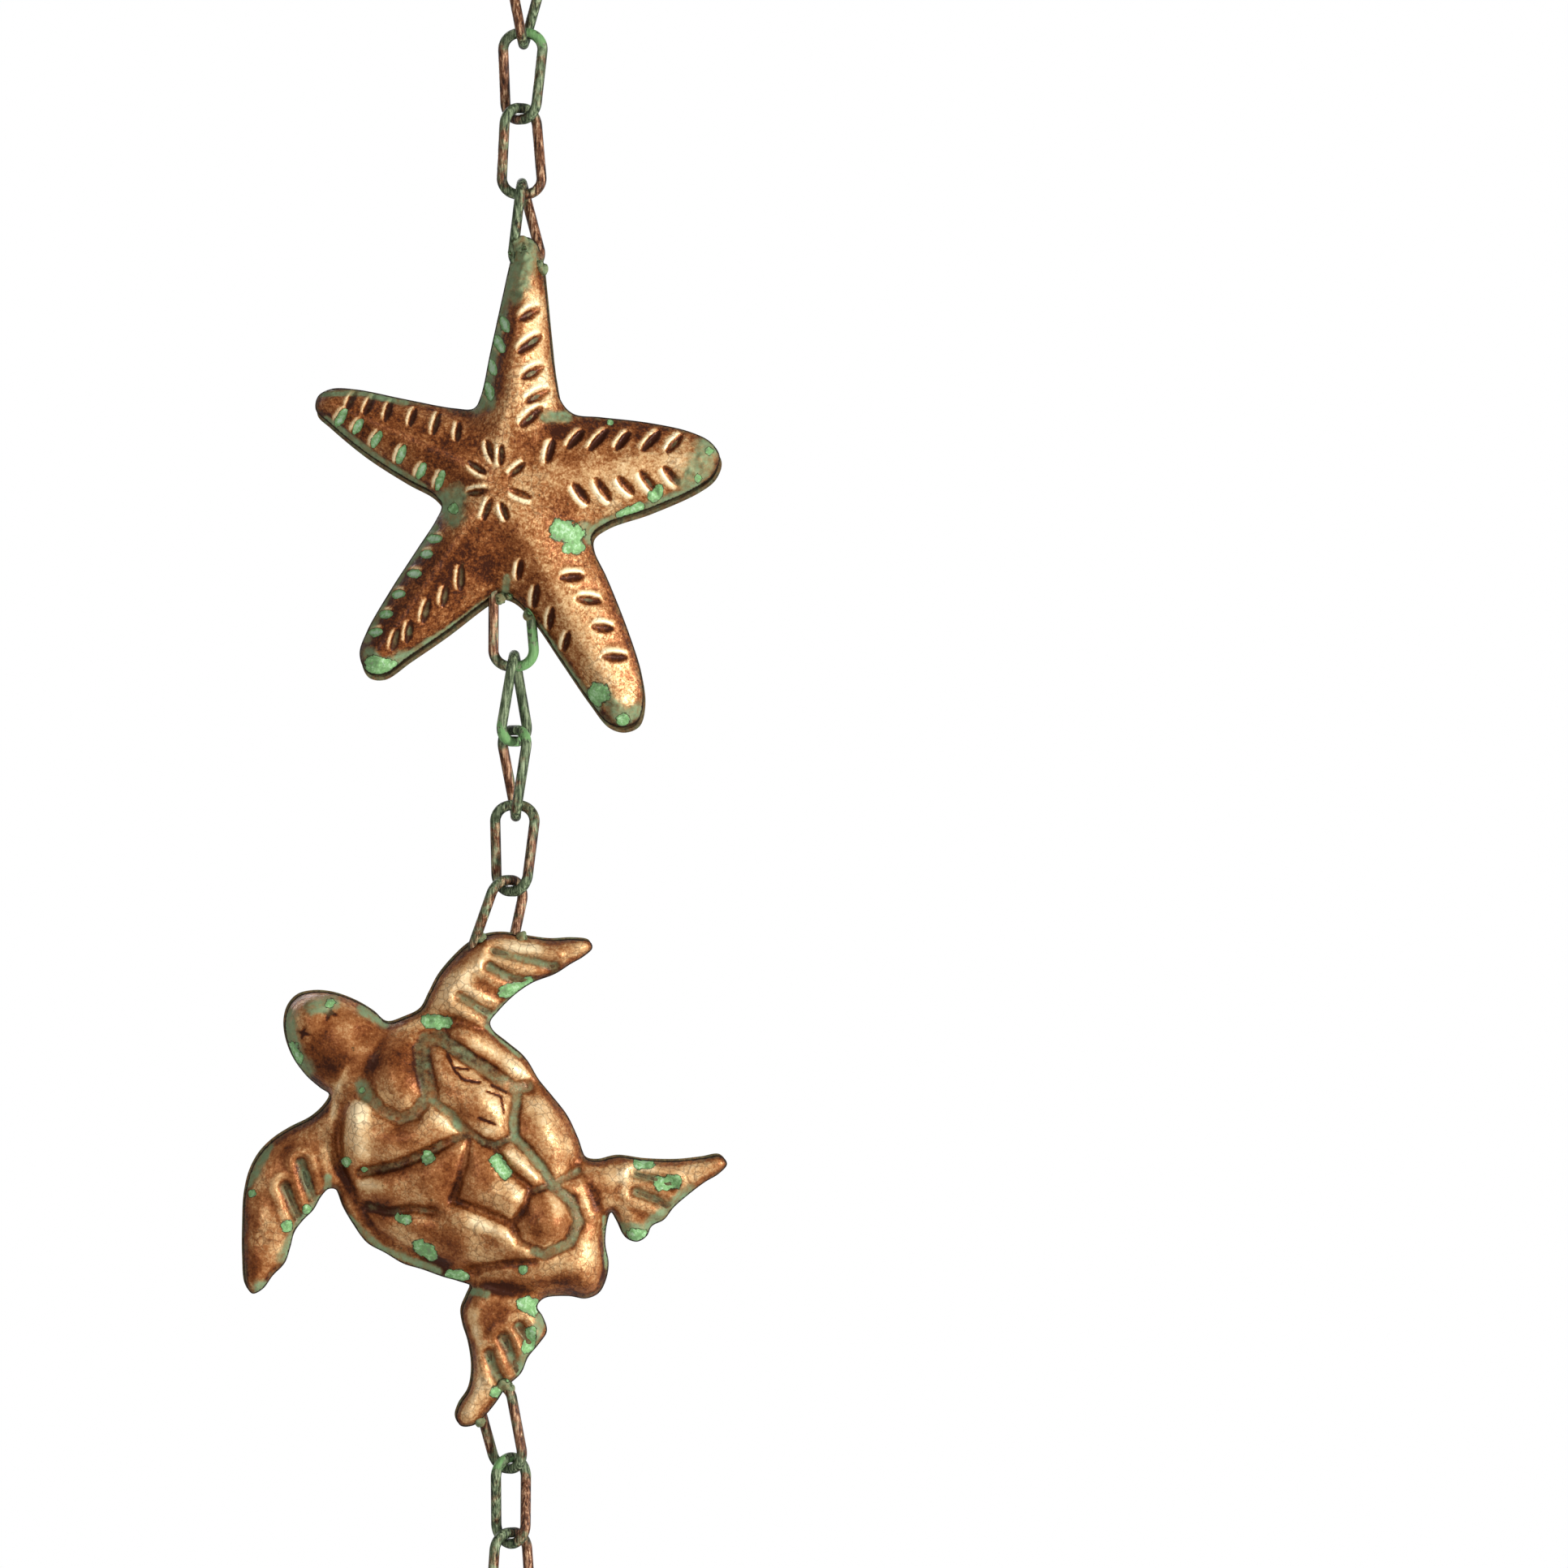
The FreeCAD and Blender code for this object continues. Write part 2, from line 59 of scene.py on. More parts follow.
LIGHT_SIDE = (1.0, -0.35)


def from_px(points, centre):
    """Pixels of the photograph as millimetres from an ornament's centre."""
    spots = np.array(points, float)
    x = (spots[:, 0] - HANG_PX[0]) / PIXELS_PER_MM - centre[0]
    z = -(spots[:, 1] - HANG_PX[1]) / PIXELS_PER_MM - centre[1]
    return np.stack([x, z], axis=1)


# Starfish
STAR_OUTLINE = [
    (648, 292), (661, 299), (668, 318), (672, 350), (678, 410), (684, 462), (692, 495), (707, 510), (740, 514),
    (800, 521), (850, 532), (876, 545), (887, 563), (880, 584), (860, 600), (800, 627), (748, 645), (730, 659),
    (732, 678), (748, 712), (775, 780), (788, 822), (793, 862), (786, 888), (768, 896), (748, 890), (725, 862),
    (690, 811), (655, 760), (632, 737), (614, 732), (597, 742), (550, 778), (505, 809), (472, 831), (452, 828),
    (443, 806), (452, 778), (480, 729), (515, 675), (537, 641), (544, 623), (534, 609), (500, 590), (450, 558),
    (405, 521), (389, 505), (392, 488), (409, 479), (440, 480), (500, 492), (560, 503), (584, 503), (592, 489),
    (604, 434), (618, 370), (628, 325), (634, 302),
]
STAR_RIDGES = [
    [(612, 598), (634, 490), (640, 400), (649, 310)],
    [(612, 598), (700, 578), (862, 567)],
    [(612, 598), (655, 668), (716, 780), (760, 866)],
    [(612, 598), (552, 688), (500, 760), (461, 807)],
    [(612, 598), (555, 562), (480, 530), (409, 496)],
]
STAR_HEIGHT = 10.5
STAR_TIP_HEIGHT = 4.8

# Chisel dashes in rows: length and width in millimetres, how much patina fills them, and for
# each dash its place and its direction in degrees
DASH_ROWS = [
    (6.2, 3.2, 0.35, [
        (617, 562, 90), (637, 579, 38), (642, 611, -18), (621, 632, -72), (600, 628, 68), (588, 606, 12),
        (588, 579, -38), (604, 557, -70),
    ]),
    (7.8, 4.4, 0.1, [(652, 386, 36), (652, 423, 34), (656, 458, 34), (662, 487, 30), (654, 513, 40)]),
    (5.4, 3.4, 1.0, [(620, 401, -62), (613, 425, -66), (605, 454, -70), (601, 483, -74)]),
    (7.2, 3.6, 0.2, [
        (677, 557, 72), (708, 541, 52), (736, 542, 50), (766, 543, 50), (801, 543, 52), (830, 546, 48),
    ]),
    (7.6, 4.0, 0.2, [(715, 610, -54), (742, 605, -52), (770, 600, -50), (798, 596, -52), (826, 588, -48)]),
    (6.6, 4.0, 0.2, [(705, 710, 0), (726, 738, -4), (743, 772, -6), (758, 808, -6)]),
    (6.4, 3.2, 0.2, [(640, 702, 84), (659, 735, 80), (678, 762, 80), (697, 790, 78)]),
    (6.6, 3.2, 0.5, [(567, 712, 84), (547, 735, 80), (524, 753, 76), (503, 778, 76), (486, 788, 76)]),
    (4.2, 3.2, 1.0, [
        (536, 662, 0), (526, 681, 2), (511, 705, 4), (491, 730, 6), (476, 755, 8), (463, 777, 8),
    ]),
    (6.2, 2.8, 0.3, [
        (564, 532, 80), (537, 522, 78), (508, 514, 76), (478, 506, 72), (454, 499, 70), (432, 493, 66),
    ]),
    (5.4, 3.2, 0.9, [
        (541, 592, 66), (518, 580, 66), (493, 560, 64), (463, 541, 60), (440, 525, 58), (419, 514, 52),
    ]),
]
DASH_DEPTH = 1.4
DASH_BURR = 0.5

# Turtle
TURTLE_OUTLINE = [
    (478, 1260), (462, 1247), (440, 1234), (412, 1224), (388, 1222), (368, 1227), (356, 1240), (351, 1258),
    (353, 1280), (362, 1304), (377, 1325), (394, 1340), (407, 1350), (401, 1362), (385, 1377), (358, 1391),
    (338, 1404), (321, 1421), (309, 1443), (302, 1472), (300, 1510), (300, 1550), (303, 1583), (311, 1594),
    (324, 1588), (336, 1572), (351, 1556), (358, 1536), (363, 1518), (374, 1503), (386, 1491), (396, 1474),
    (405, 1465), (414, 1466), (424, 1489), (437, 1511), (452, 1531), (475, 1544), (497, 1557), (520, 1564),
    (545, 1573), (566, 1579), (580, 1585), (576, 1596), (569, 1614), (571, 1632), (578, 1655), (582, 1686),
    (578, 1712), (566, 1731), (562, 1746), (568, 1757), (584, 1756), (598, 1744), (612, 1727), (624, 1709),
    (642, 1692), (651, 1672), (664, 1656), (674, 1640), (669, 1622), (662, 1610), (670, 1600), (700, 1597),
    (722, 1600), (738, 1593), (747, 1576), (750, 1556), (746, 1532), (748, 1508), (753, 1494), (761, 1506),
    (771, 1525), (785, 1530), (797, 1523), (803, 1511), (818, 1503), (830, 1488), (847, 1473), (868, 1457),
    (886, 1446), (896, 1434), (888, 1424), (865, 1427), (835, 1430), (795, 1429), (762, 1425), (737, 1430),
    (723, 1427), (712, 1401), (699, 1374), (682, 1352), (664, 1330), (648, 1304), (627, 1286), (609, 1271),
    (604, 1260), (614, 1246), (634, 1226), (656, 1211), (684, 1200), (703, 1188), (720, 1178), (730, 1168),
    (727, 1160), (708, 1157), (678, 1158), (648, 1154), (620, 1150), (598, 1153), (579, 1163), (560, 1180),
    (541, 1203), (530, 1224), (519, 1244), (500, 1254),
]
CARAPACE_OUTLINE = [
    (478, 1262), (500, 1255), (525, 1248), (560, 1248), (590, 1256), (609, 1271), (627, 1286), (648, 1304),
    (664, 1330), (682, 1352), (699, 1374), (712, 1401), (722, 1428), (732, 1456), (744, 1482), (747, 1510),
    (746, 1532), (750, 1556), (747, 1576), (738, 1593), (722, 1600), (700, 1597), (664, 1601), (620, 1597),
    (580, 1586), (566, 1579), (545, 1573), (520, 1564), (497, 1557), (475, 1544), (452, 1531), (437, 1511),
    (424, 1489), (412, 1466), (405, 1440), (403, 1405), (404, 1370), (411, 1345), (428, 1312), (452, 1280),
]
CARAPACE_RIDGE = [(505, 1340), (560, 1400), (620, 1460), (670, 1510)]
CARAPACE_HEIGHT = 15.0
HEAD_RIDGE = [(446, 1304), (420, 1281), (385, 1252)]
HEAD_HEIGHT = 8.5
FLIPPER_HEIGHT = 5.4

# Each flipper's ridges, with the share of its height that each end has
FLIPPER_RIDGES = [
    ([(570, 1260), (567, 1215), (600, 1185), (655, 1178), (715, 1166)], 1.0, 0.55),
    ([(430, 1430), (395, 1418), (350, 1450), (328, 1510), (314, 1575)], 1.0, 0.5),
    ([(690, 1470), (760, 1458), (810, 1450), (885, 1432)], 1.0, 0.4),
    ([(700, 1480), (770, 1470), (825, 1483)], 1.0, 0.6),
    ([(700, 1475), (765, 1475), (785, 1520)], 1.0, 0.6),
    ([(640, 1540), (610, 1610), (602, 1680), (580, 1740)], 1.0, 0.6),
    ([(635, 1560), (628, 1630), (636, 1690)], 1.0, 0.6),
    ([(640, 1560), (645, 1610), (665, 1642)], 1.0, 0.6),
]

# Grooves between the plates: half the width of the floor in millimetres, how green, and the line
PLATE_GROOVES = [
    (0.2, 0.3, [(440, 1335), (424, 1365), (419, 1400), (421, 1440), (435, 1482), (460, 1520), (498, 1546), (545, 1566)]),
    (2.4, 0.72, [(545, 1279), (527, 1280), (521, 1292), (523, 1310), (528, 1332), (531, 1346)]),
    (1.6, 0.72, [(531, 1348), (512, 1371), (493, 1377), (470, 1365), (459, 1352), (448, 1344)]),
    (0.9, 0.9, [(533, 1354), (546, 1364), (558, 1372), (568, 1388)]),
    (1.8, 0.72, [(538, 1278), (560, 1290), (581, 1306), (611, 1325), (634, 1341), (650, 1338)]),
    (0.9, 0.9, [(639, 1345), (634, 1375), (634, 1400), (650, 1415), (668, 1438), (681, 1456)]),
    (0.5, 0.6, [(634, 1398), (612, 1410), (596, 1405), (578, 1392), (562, 1378)]),
    (0.7, 0.6, [(446, 1444), (490, 1434), (530, 1418), (560, 1402), (580, 1396)]),
    (0.4, 0.5, [(452, 1486), (478, 1492), (510, 1488), (534, 1491)]),
    (0.3, 0.1, [(580, 1398), (572, 1440), (560, 1478), (590, 1489), (632, 1506)]),
    (0.1, 0.2, [(606, 1406), (632, 1444), (655, 1462), (645, 1490), (632, 1506)]),
    (1.2, 0.8, [(682, 1460), (704, 1478), (714, 1504), (702, 1530), (672, 1544), (660, 1540)]),
    (0.6, 0.5, [(655, 1466), (682, 1458)]),
    (0.4, 0.4, [(664, 1540), (640, 1528), (632, 1508)]),
    (0.2, 0.1, [(582, 1564), (620, 1556), (660, 1552)]),
    (0.7, 0.7, [(682, 1458), (706, 1446), (726, 1436)]),
    (0.1, 0.1, [(736, 1436), (740, 1478)]),
]

# Swellings on the plates: height and half width in millimetres, and the line
PLATE_SWELLS = [
    (1.5, 2.6, [(572, 1274), (612, 1298), (648, 1326)]), (2.6, 4.2, [(431, 1368), (433, 1424)]),
    (0.9, 1.8, [(628, 1418), (662, 1448)]), (1.6, 2.4, [(570, 1494), (604, 1507), (652, 1538)]),
    (0.9, 4.0, [(590, 1345), (618, 1372)]), (1.0, 3.6, [(664, 1362), (690, 1410)]), (0.8, 3.0, [(680, 1480), (684, 1500)]),
    (0.9, 1.1, [(428, 1316), (412, 1350), (408, 1395), (411, 1440), (428, 1488), (458, 1527)]),
    (0.8, 2.0, [(578, 1412), (570, 1450)]), (0.8, 2.2, [(620, 1465), (640, 1480)]), (0.8, 1.6, [(720, 1446), (726, 1480)]),
]
PILLOW = 4.6
PILLOW_REACH = 3.6
CREASE = 0.8
FLIPPER_GROOVES = [
    [(610, 1172), (640, 1180), (682, 1190)],
    [(604, 1190), (632, 1206), (655, 1210)],
    [(568, 1228), (584, 1238), (600, 1247)],
    [(372, 1432), (378, 1455), (386, 1475)],
    [(352, 1462), (360, 1482), (368, 1500)],
    [(782, 1446), (805, 1452), (828, 1460)],
    [(784, 1468), (805, 1476), (822, 1486)],
    [(640, 1634), (650, 1650), (660, 1664)],
    [(622, 1648), (630, 1668), (636, 1684)],
    [(603, 1668), (610, 1688), (618, 1704)],
]
EYE_PX = [(407, 1247), (375, 1272)]
TURTLE_CRACKS = [
    [(552, 1298), (560, 1314), (578, 1317)], [(560, 1316), (572, 1329), (592, 1333)],
    [(600, 1343), (618, 1350), (622, 1370)], [(606, 1336), (624, 1345)], [(592, 1376), (612, 1384)],
]

# Where the patina lies thick: each stroke's radius and its line. Mint is the
# bright crust, and the wash is the grey-green round the edges and creases.
STAR_MINT = [
    (13, [(690, 654), (707, 659)]), (8, [(702, 676), (712, 674)]), (14, [(738, 855)]), (8, [(768, 888)]),
    (5, [(874, 556)]), (5, [(860, 590)]), (7, [(806, 612), (812, 604)]), (5, [(764, 634), (790, 624)]),
    (10, [(458, 818), (485, 825)]), (4, [(752, 521)]), (6, [(560, 628)]),
]
STAR_WASH = [
    (23, [(649, 298), (644, 325), (632, 356)]), (9, [(630, 340), (616, 395), (606, 440), (599, 482)]),
    (13, [(588, 499), (602, 496)]), (9, [(672, 514), (698, 514)]), (20, [(872, 550), (864, 572), (850, 596)]),
    (9, [(842, 609), (800, 624), (748, 644), (728, 656)]), (17, [(543, 622), (562, 612), (560, 636)]),
    (6, [(537, 650), (505, 692), (475, 737), (452, 788)]), (11, [(455, 806), (470, 824), (500, 810)]),
    (5, [(606, 737), (550, 777), (490, 815)]), (8, [(664, 776), (702, 832), (735, 872)]),
    (12, [(740, 850), (768, 886), (784, 876)]), (5, [(402, 516), (460, 560), (522, 600)]),
    (5, [(396, 486), (440, 484), (500, 496)]), (10, [(728, 664), (722, 650)]), (6, [(625, 712), (622, 735)]),
]

# Painted highlight on the bare sheet, above nought, and painted shade, below it: how much, the radius, and the line
STAR_PAINTED_LIGHT = [
    (-0.6, 32, [(415, 500), (470, 520), (560, 565)]), (-0.9, 24, [(458, 800), (492, 745), (538, 665)]),
    (-0.6, 24, [(510, 780), (560, 720), (590, 660)]), (-0.4, 16, [(612, 598)]), (-0.8, 13, [(632, 375), (606, 485)]),
    (-0.8, 14, [(690, 532), (810, 538)]), (0.8, 14, [(664, 372), (668, 430), (674, 490)]),
    (0.45, 22, [(650, 622), (668, 660), (700, 730)]), (0.5, 24, [(715, 760), (770, 850)]),
    (0.6, 20, [(690, 590), (760, 582), (850, 570)]), (0.4, 16, [(716, 626), (800, 602)]),
    (-0.5, 16, [(735, 880), (775, 892)]), (-0.4, 13, [(600, 700), (612, 728)]),
]
TURTLE_PAINTED_LIGHT = [
    (0.9, 13, [(444, 1366), (450, 1396), (450, 1418)]), (0.7, 14, [(426, 1268), (436, 1290)]),
    (0.8, 7, [(585, 1284), (618, 1302), (646, 1323)]), (0.8, 10, [(600, 1345), (618, 1368)]),
    (0.7, 6, [(560, 1309), (590, 1324)]), (0.7, 7, [(603, 1392), (612, 1388)]),
    (0.4, 12, [(662, 1358), (676, 1398)]), (0.8, 8, [(546, 1378), (560, 1390)]),
    (1.0, 5, [(630, 1420), (662, 1448)]), (0.7, 7, [(630, 1458), (642, 1474)]), (0.7, 6, [(577, 1412), (572, 1448)]),
    (1.2, 8, [(683, 1474), (690, 1490)]), (0.9, 7, [(585, 1502), (625, 1519), (650, 1538)]),
    (0.8, 9, [(448, 1458), (468, 1460)]), (0.8, 6, [(716, 1446), (722, 1480)]), (0.2, 9, [(700, 1556), (732, 1540)]), (-0.5, 10, [(690, 1578), (730, 1570)]),
    (0.8, 10, [(575, 1205), (600, 1176), (660, 1166)]), (0.8, 9, [(583, 1618), (590, 1650)]),
    (0.9, 4, [(430, 1314), (412, 1350), (408, 1392)]), (0.6, 9, [(590, 1700), (578, 1738)]), (0.5, 10, [(345, 1440), (328, 1490)]), (0.6, 8, [(760, 1452), (800, 1438)]),
    (-0.7, 15, [(376, 1312), (402, 1322)]), (-0.5, 12, [(480, 1396), (512, 1404)]), (-0.5, 10, [(520, 1434), (470, 1446)]),
    (-0.5, 12, [(470, 1490), (560, 1532)]), (-0.8, 10, [(598, 1588), (665, 1582), (722, 1584)]),
    (-0.4, 8, [(556, 1346), (575, 1372)]), (-0.4, 8, [(650, 1492), (665, 1515)]), (-0.4, 10, [(465, 1310), (505, 1290)]),
    (-0.4, 10, [(596, 1628), (612, 1650)]), (-0.4, 8, [(316, 1500), (312, 1570)]),
]
TURTLE_MINT = [
    (8, [(529, 1425)]), (8, [(614, 1428), (624, 1444)]), (6, [(428, 1431)]), (4, [(449, 1440)]),
    (6, [(493, 1500), (502, 1501)]), (9, [(518, 1536), (530, 1543)]), (6, [(555, 1570), (572, 1572)]),
    (6, [(645, 1562)]), (10, [(648, 1606), (656, 1610)]), (7, [(655, 1640), (650, 1660)]), (7, [(355, 1510)]),
    (9, [(815, 1458), (830, 1456)]), (6, [(786, 1434), (800, 1434)]), (8, [(780, 1521), (792, 1523)]),
    (8, [(527, 1258), (550, 1259)]), (8, [(622, 1222), (650, 1212)]), (7, [(360, 1290), (368, 1304)]),
    (7, [(622, 1706), (612, 1716)]), (6, [(408, 1236)]), (5, [(310, 1470)]), (6, [(378, 1490)]),
    (5, [(750, 1512)]), (4, [(448, 1342)]),
]
TURTLE_WASH = [
    (12, [(356, 1250), (360, 1285), (378, 1318)]), (12, [(385, 1240), (410, 1236)]), (8, [(446, 1243), (474, 1260)]),
    (11, [(447, 1336), (453, 1350)]), (10, [(655, 1214), (628, 1238), (608, 1256)]),
    (9, [(396, 1478), (366, 1512), (348, 1550)]), (12, [(322, 1586)]), (7, [(332, 1412), (308, 1458)]),
    (6, [(428, 1500), (470, 1538), (540, 1566)]), (10, [(768, 1512), (795, 1514), (850, 1466)]),
    (9, [(668, 1622), (656, 1652), (640, 1688)]), (4, [(745, 1500), (748, 1560)]), (4, [(600, 1265), (640, 1300)]),
    (6, [(405, 1450), (404, 1464)]), (6, [(580, 1590), (600, 1594)]),
]


def closed_curve(points, step):
    """A smooth closed curve through the points, as short steps."""
    spots = np.array(points, float)
    count = len(spots)
    pieces = []
    for number in range(count):
        a, b = spots[number - 1], spots[number]
        c, d = spots[(number + 1) % count], spots[(number + 2) % count]
        first = math.sqrt(np.linalg.norm(b - a))
        second = first + math.sqrt(np.linalg.norm(c - b))
        third = second + math.sqrt(np.linalg.norm(d - c))
        steps = max(2, round(np.linalg.norm(c - b) / step))
        t = np.linspace(first, second, steps, endpoint=False)[:, None]
        ab = a + (b - a) * t / first
        bc = b + (c - b) * (t - first) / (second - first)
        cd = c + (d - c) * (t - second) / (third - second)
        abc = ab + (bc - ab) * t / second
        bcd = bc + (cd - bc) * (t - first) / (third - first)
        pieces.append(abc + (bcd - abc) * (t - first) / (second - first))
    return np.concatenate(pieces)


def to_line(points, line):
    """Distance from each point to a line of runs, its foot, and the share of the line's length there."""
    runs = np.linalg.norm(np.diff(line, axis=0), axis=1)
    before = np.concatenate([[0], np.cumsum(runs)])
    best = np.full(len(points), np.inf)
    foot = np.zeros_like(points)
    share = np.zeros(len(points))
    for number, run in enumerate(runs):
        start = line[number]
        along = (line[number + 1] - start) / run
        reach = np.clip((points - start) @ along, 0, run)
        near = start + reach[:, None] * along
        distance = np.linalg.norm(points - near, axis=1)
        closer = distance < best
        best[closer] = distance[closer]
        foot[closer] = near[closer]
        share[closer] = ((before[number] + reach) / before[-1])[closer]
    return best, foot, share


def inside(points, curve):
    """Which points lie inside a closed curve."""
    odd = np.zeros(len(points), bool)
    for number in range(len(curve)):
        a, b = curve[number - 1], curve[number]
        crosses = (a[1] > points[:, 1]) != (b[1] > points[:, 1])
        if crosses.any():
            x = a[0] + (points[:, 1] - a[1]) * (b[0] - a[0]) / (b[1] - a[1])
            odd ^= crosses & (points[:, 0] < x)
    return odd


def depth_in(points, curve):
    """Distance to a closed curve, positive inside, and the foot on it."""
    distance, foot, _ = to_line(points, np.concatenate([curve, curve[:1]]))
    return np.where(inside(points, curve), distance, -distance), foot


def lattice(curve, spacing):
    """Points and triangles that fill a closed curve, with the rim on the curve."""
    low = curve.min(0) - spacing
    high = curve.max(0) + spacing
    row_step = spacing * math.sqrt(3) / 2
    columns = int((high[0] - low[0]) / spacing) + 2
    rows = int((high[1] - low[1]) / row_step) + 2
    row, column = np.meshgrid(np.arange(rows), np.arange(columns), indexing="ij")
    x = low[0] + spacing * (column + 0.5 * (row % 2))
    z = low[1] + row_step * row
    points = np.stack([x.ravel(), z.ravel()], axis=1)
    name = np.arange(rows * columns).reshape(rows, columns)
    a, b, c, d = name[:-1, :-1], name[:-1, 1:], name[1:, :-1], name[1:, 1:]
    even = (row[:-1, :-1] % 2 == 0)
    up = np.where(even[..., None], np.stack([a, b, c], -1), np.stack([a, b, d], -1))
    down = np.where(even[..., None], np.stack([b, d, c], -1), np.stack([a, d, c], -1))
    triangles = np.concatenate([up.reshape(-1, 3), down.reshape(-1, 3)])
    depth, foot = depth_in(points, curve)
    on_rim = np.abs(depth) <= spacing / 2
    points[on_rim] = foot[on_rim]
    triangles = triangles[((depth > 0) | on_rim)[triangles].all(axis=1)]
    corners = points[triangles]
    one, two = corners[:, 1] - corners[:, 0], corners[:, 2] - corners[:, 0]
    area = (one[:, 0] * two[:, 1] - one[:, 1] * two[:, 0]) / 2
    thin = on_rim[triangles].all(axis=1)
    thin[thin] = (area[thin] < 0.02 * spacing ** 2) | ~inside(corners[thin].mean(axis=1), curve)
    triangles = triangles[~thin]
    used = np.unique(triangles)
    place = np.zeros(len(points), int)
    place[used] = np.arange(len(used))
    return points[used], place[triangles], on_rim[used]


def arch(across, power, fall):
    """Height share across a form: 1 at the ridge and 0 at the rim."""
    return (1 - np.clip(across, 0, 1) ** power) ** fall


def bell(distance, width):
    return np.exp(-(distance / width) ** 2)


def waves(points, size, seed):
    """Soft seeded unevenness between about -1 and 1, of the given size."""
    generator = np.random.default_rng(seed)
    total = np.zeros(len(points))
    for _ in range(14):
        angle = generator.uniform(0, 2 * math.pi)
        turn = generator.uniform(0, 2 * math.pi)
        length = size * generator.uniform(0.6, 1.6)
        direction = np.array([math.cos(angle), math.sin(angle)])
        total += np.sin(points @ direction * 2 * math.pi / length + turn)
    return total / 4.5


star_curve = closed_curve(from_px(STAR_OUTLINE, STAR_CENTRE), 0.6)


def flanged(rim):
    """Distance in from the flat edge that the two halves meet on, and that edge's own height."""
    return np.maximum(rim - FLANGE, 0), FLANGE_HEIGHT * np.clip(rim / 0.35, 0, 1)


def stroke(points, line, centre, reach):
    """Which points lie within reach of a stroke, and their distance to it, in pixels."""
    spots = from_px(line if len(line) > 1 else line * 2, centre)
    margin = reach / PIXELS_PER_MM
    within = ((points > spots.min(0) - margin) & (points < spots.max(0) + margin)).all(axis=1)
    if len(line) > 1:
        distance = to_line(points[within], spots)[0]
    else:
        distance = np.linalg.norm(points[within] - spots[0], axis=1)
    return within, distance * PIXELS_PER_MM


def painted(points, strokes, centre):
    """1 inside the strokes, a half at their edge and 0 well outside."""
    level = np.zeros(len(points))
    for radius, line in strokes:
        within, distance = stroke(points, line, centre, 1.5 * radius)
        level[within] = np.maximum(level[within], 1.5 - distance / radius)
    return np.clip(level, 0, 1)


def painted_light_strokes(points, strokes, centre):
    """Painted highlight above nought and painted shade below it on the bare sheet, as soft strokes."""
    level = np.zeros(len(points))
    for amount, radius, line in strokes:
        within, distance = stroke(points, line, centre, 3 * radius)
        level[within] += amount * bell(distance, radius)
    return level


def star_form(points):
    """Broad and fine height, and the masks for the finish with its painted highlight and shade, at points of the
    starfish.
    """
    rim = np.maximum(depth_in(points, star_curve)[0], 0)
    past_edge, edge = flanged(rim)
    weights = []
    crests = []
    nearness = np.zeros(len(points))
    for line in STAR_RIDGES:
        off, _, share = to_line(points, from_px(line, STAR_CENTRE))
        weight = 1 / np.maximum(off, 0.05) ** 7
        nearness += weight
        weights.append(weight)
        crests.append(STAR_HEIGHT + (STAR_TIP_HEIGHT - STAR_HEIGHT) * share)
    off_ridge = nearness ** (-1 / 7)
    crest = sum(w * c for w, c in zip(weights, crests)) / nearness
    form = crest * arch(off_ridge / (off_ridge + past_edge + 1e-6), 1.4, 0.75)
    marks = np.zeros(len(points))
    pits = np.zeros(len(points))
    dash_highlight_and_shade = np.zeros(len(points))
    filled = np.zeros(len(points))
    dashes = [(row[:3], dash) for row in DASH_ROWS for dash in row[3]]
    for number, ((length, width, fill), (x, y, direction)) in enumerate(dashes):
        angle = math.radians(direction + 4 * math.sin(2.3 * number))
        length *= 1 + 0.1 * math.sin(3.7 * number)
        place = from_px([(x, y)], STAR_CENTRE)[0]
        near = (np.abs(points - place) < length).all(axis=1)
        dx, dz = (points[near] - place).T
        along = (dx * math.cos(angle) + dz * math.sin(angle)) / (length / 2)
        across = (dz * math.cos(angle) - dx * math.sin(angle)) / (width / 2)
        # One side of the mark is a burr that catches the light, and the other is the pit.
        lee = LIGHT_SIDE[1] * math.cos(angle) > LIGHT_SIDE[0] * math.sin(angle)
        across *= 1 if lee else -1
        taper = np.clip(1 - along ** 2, 0, 1) ** 0.5
        narrow = np.maximum(taper, 0.05)
        pit = np.clip(1 - ((across - 0.2) / (0.75 * narrow)) ** 2, 0, 1)
        burr = taper * bell(across + 0.25 + 0.45 * taper, 0.34)
        marks[near] += DASH_BURR * burr - DASH_DEPTH * (1 - 0.7 * fill) * taper * pit ** 0.8
        floor = taper * bell((across - 0.3) / narrow, 0.6)
        # On the colour, the burr gets a painted highlight and the bare pit floor gets painted shade.
        dash_highlight_and_shade[near] += 2.0 * burr - (1 - fill) * floor
        pits[near] = np.maximum(pits[near], 1.5 * fill * floor)
        filled[near] = np.maximum(filled[near], 4.4 * max(fill - 0.5, 0) * floor)
    marks += edge + 0.16 * waves(points, 9, 3) * np.clip(past_edge / 3, 0, 1)
    mint = np.maximum(painted(points, STAR_MINT, STAR_CENTRE), filled)
    wash = np.maximum(painted(points, STAR_WASH, STAR_CENTRE), np.clip(pits, 0, 1))
    marks += 0.4 * np.clip(2 * wash - 1, 0, 1) * waves(points, 2.6, 11) * np.clip(past_edge / 2, 0, 1)
    return form, marks, rim, mint, wash, dash_highlight_and_shade + painted_light_strokes(points, STAR_PAINTED_LIGHT, STAR_CENTRE)


turtle_curve = closed_curve(from_px(TURTLE_OUTLINE, TURTLE_CENTRE), 0.6)
carapace_curve = closed_curve(from_px(CARAPACE_OUTLINE, TURTLE_CENTRE), 0.8)
eyes = from_px(EYE_PX, TURTLE_CENTRE)


def nearest(points, lines):
    """Distance to the nearest of several lines of runs."""
    found = [to_line(points, from_px(line, TURTLE_CENTRE))[0] for line in lines]
    return np.min(found, axis=0)


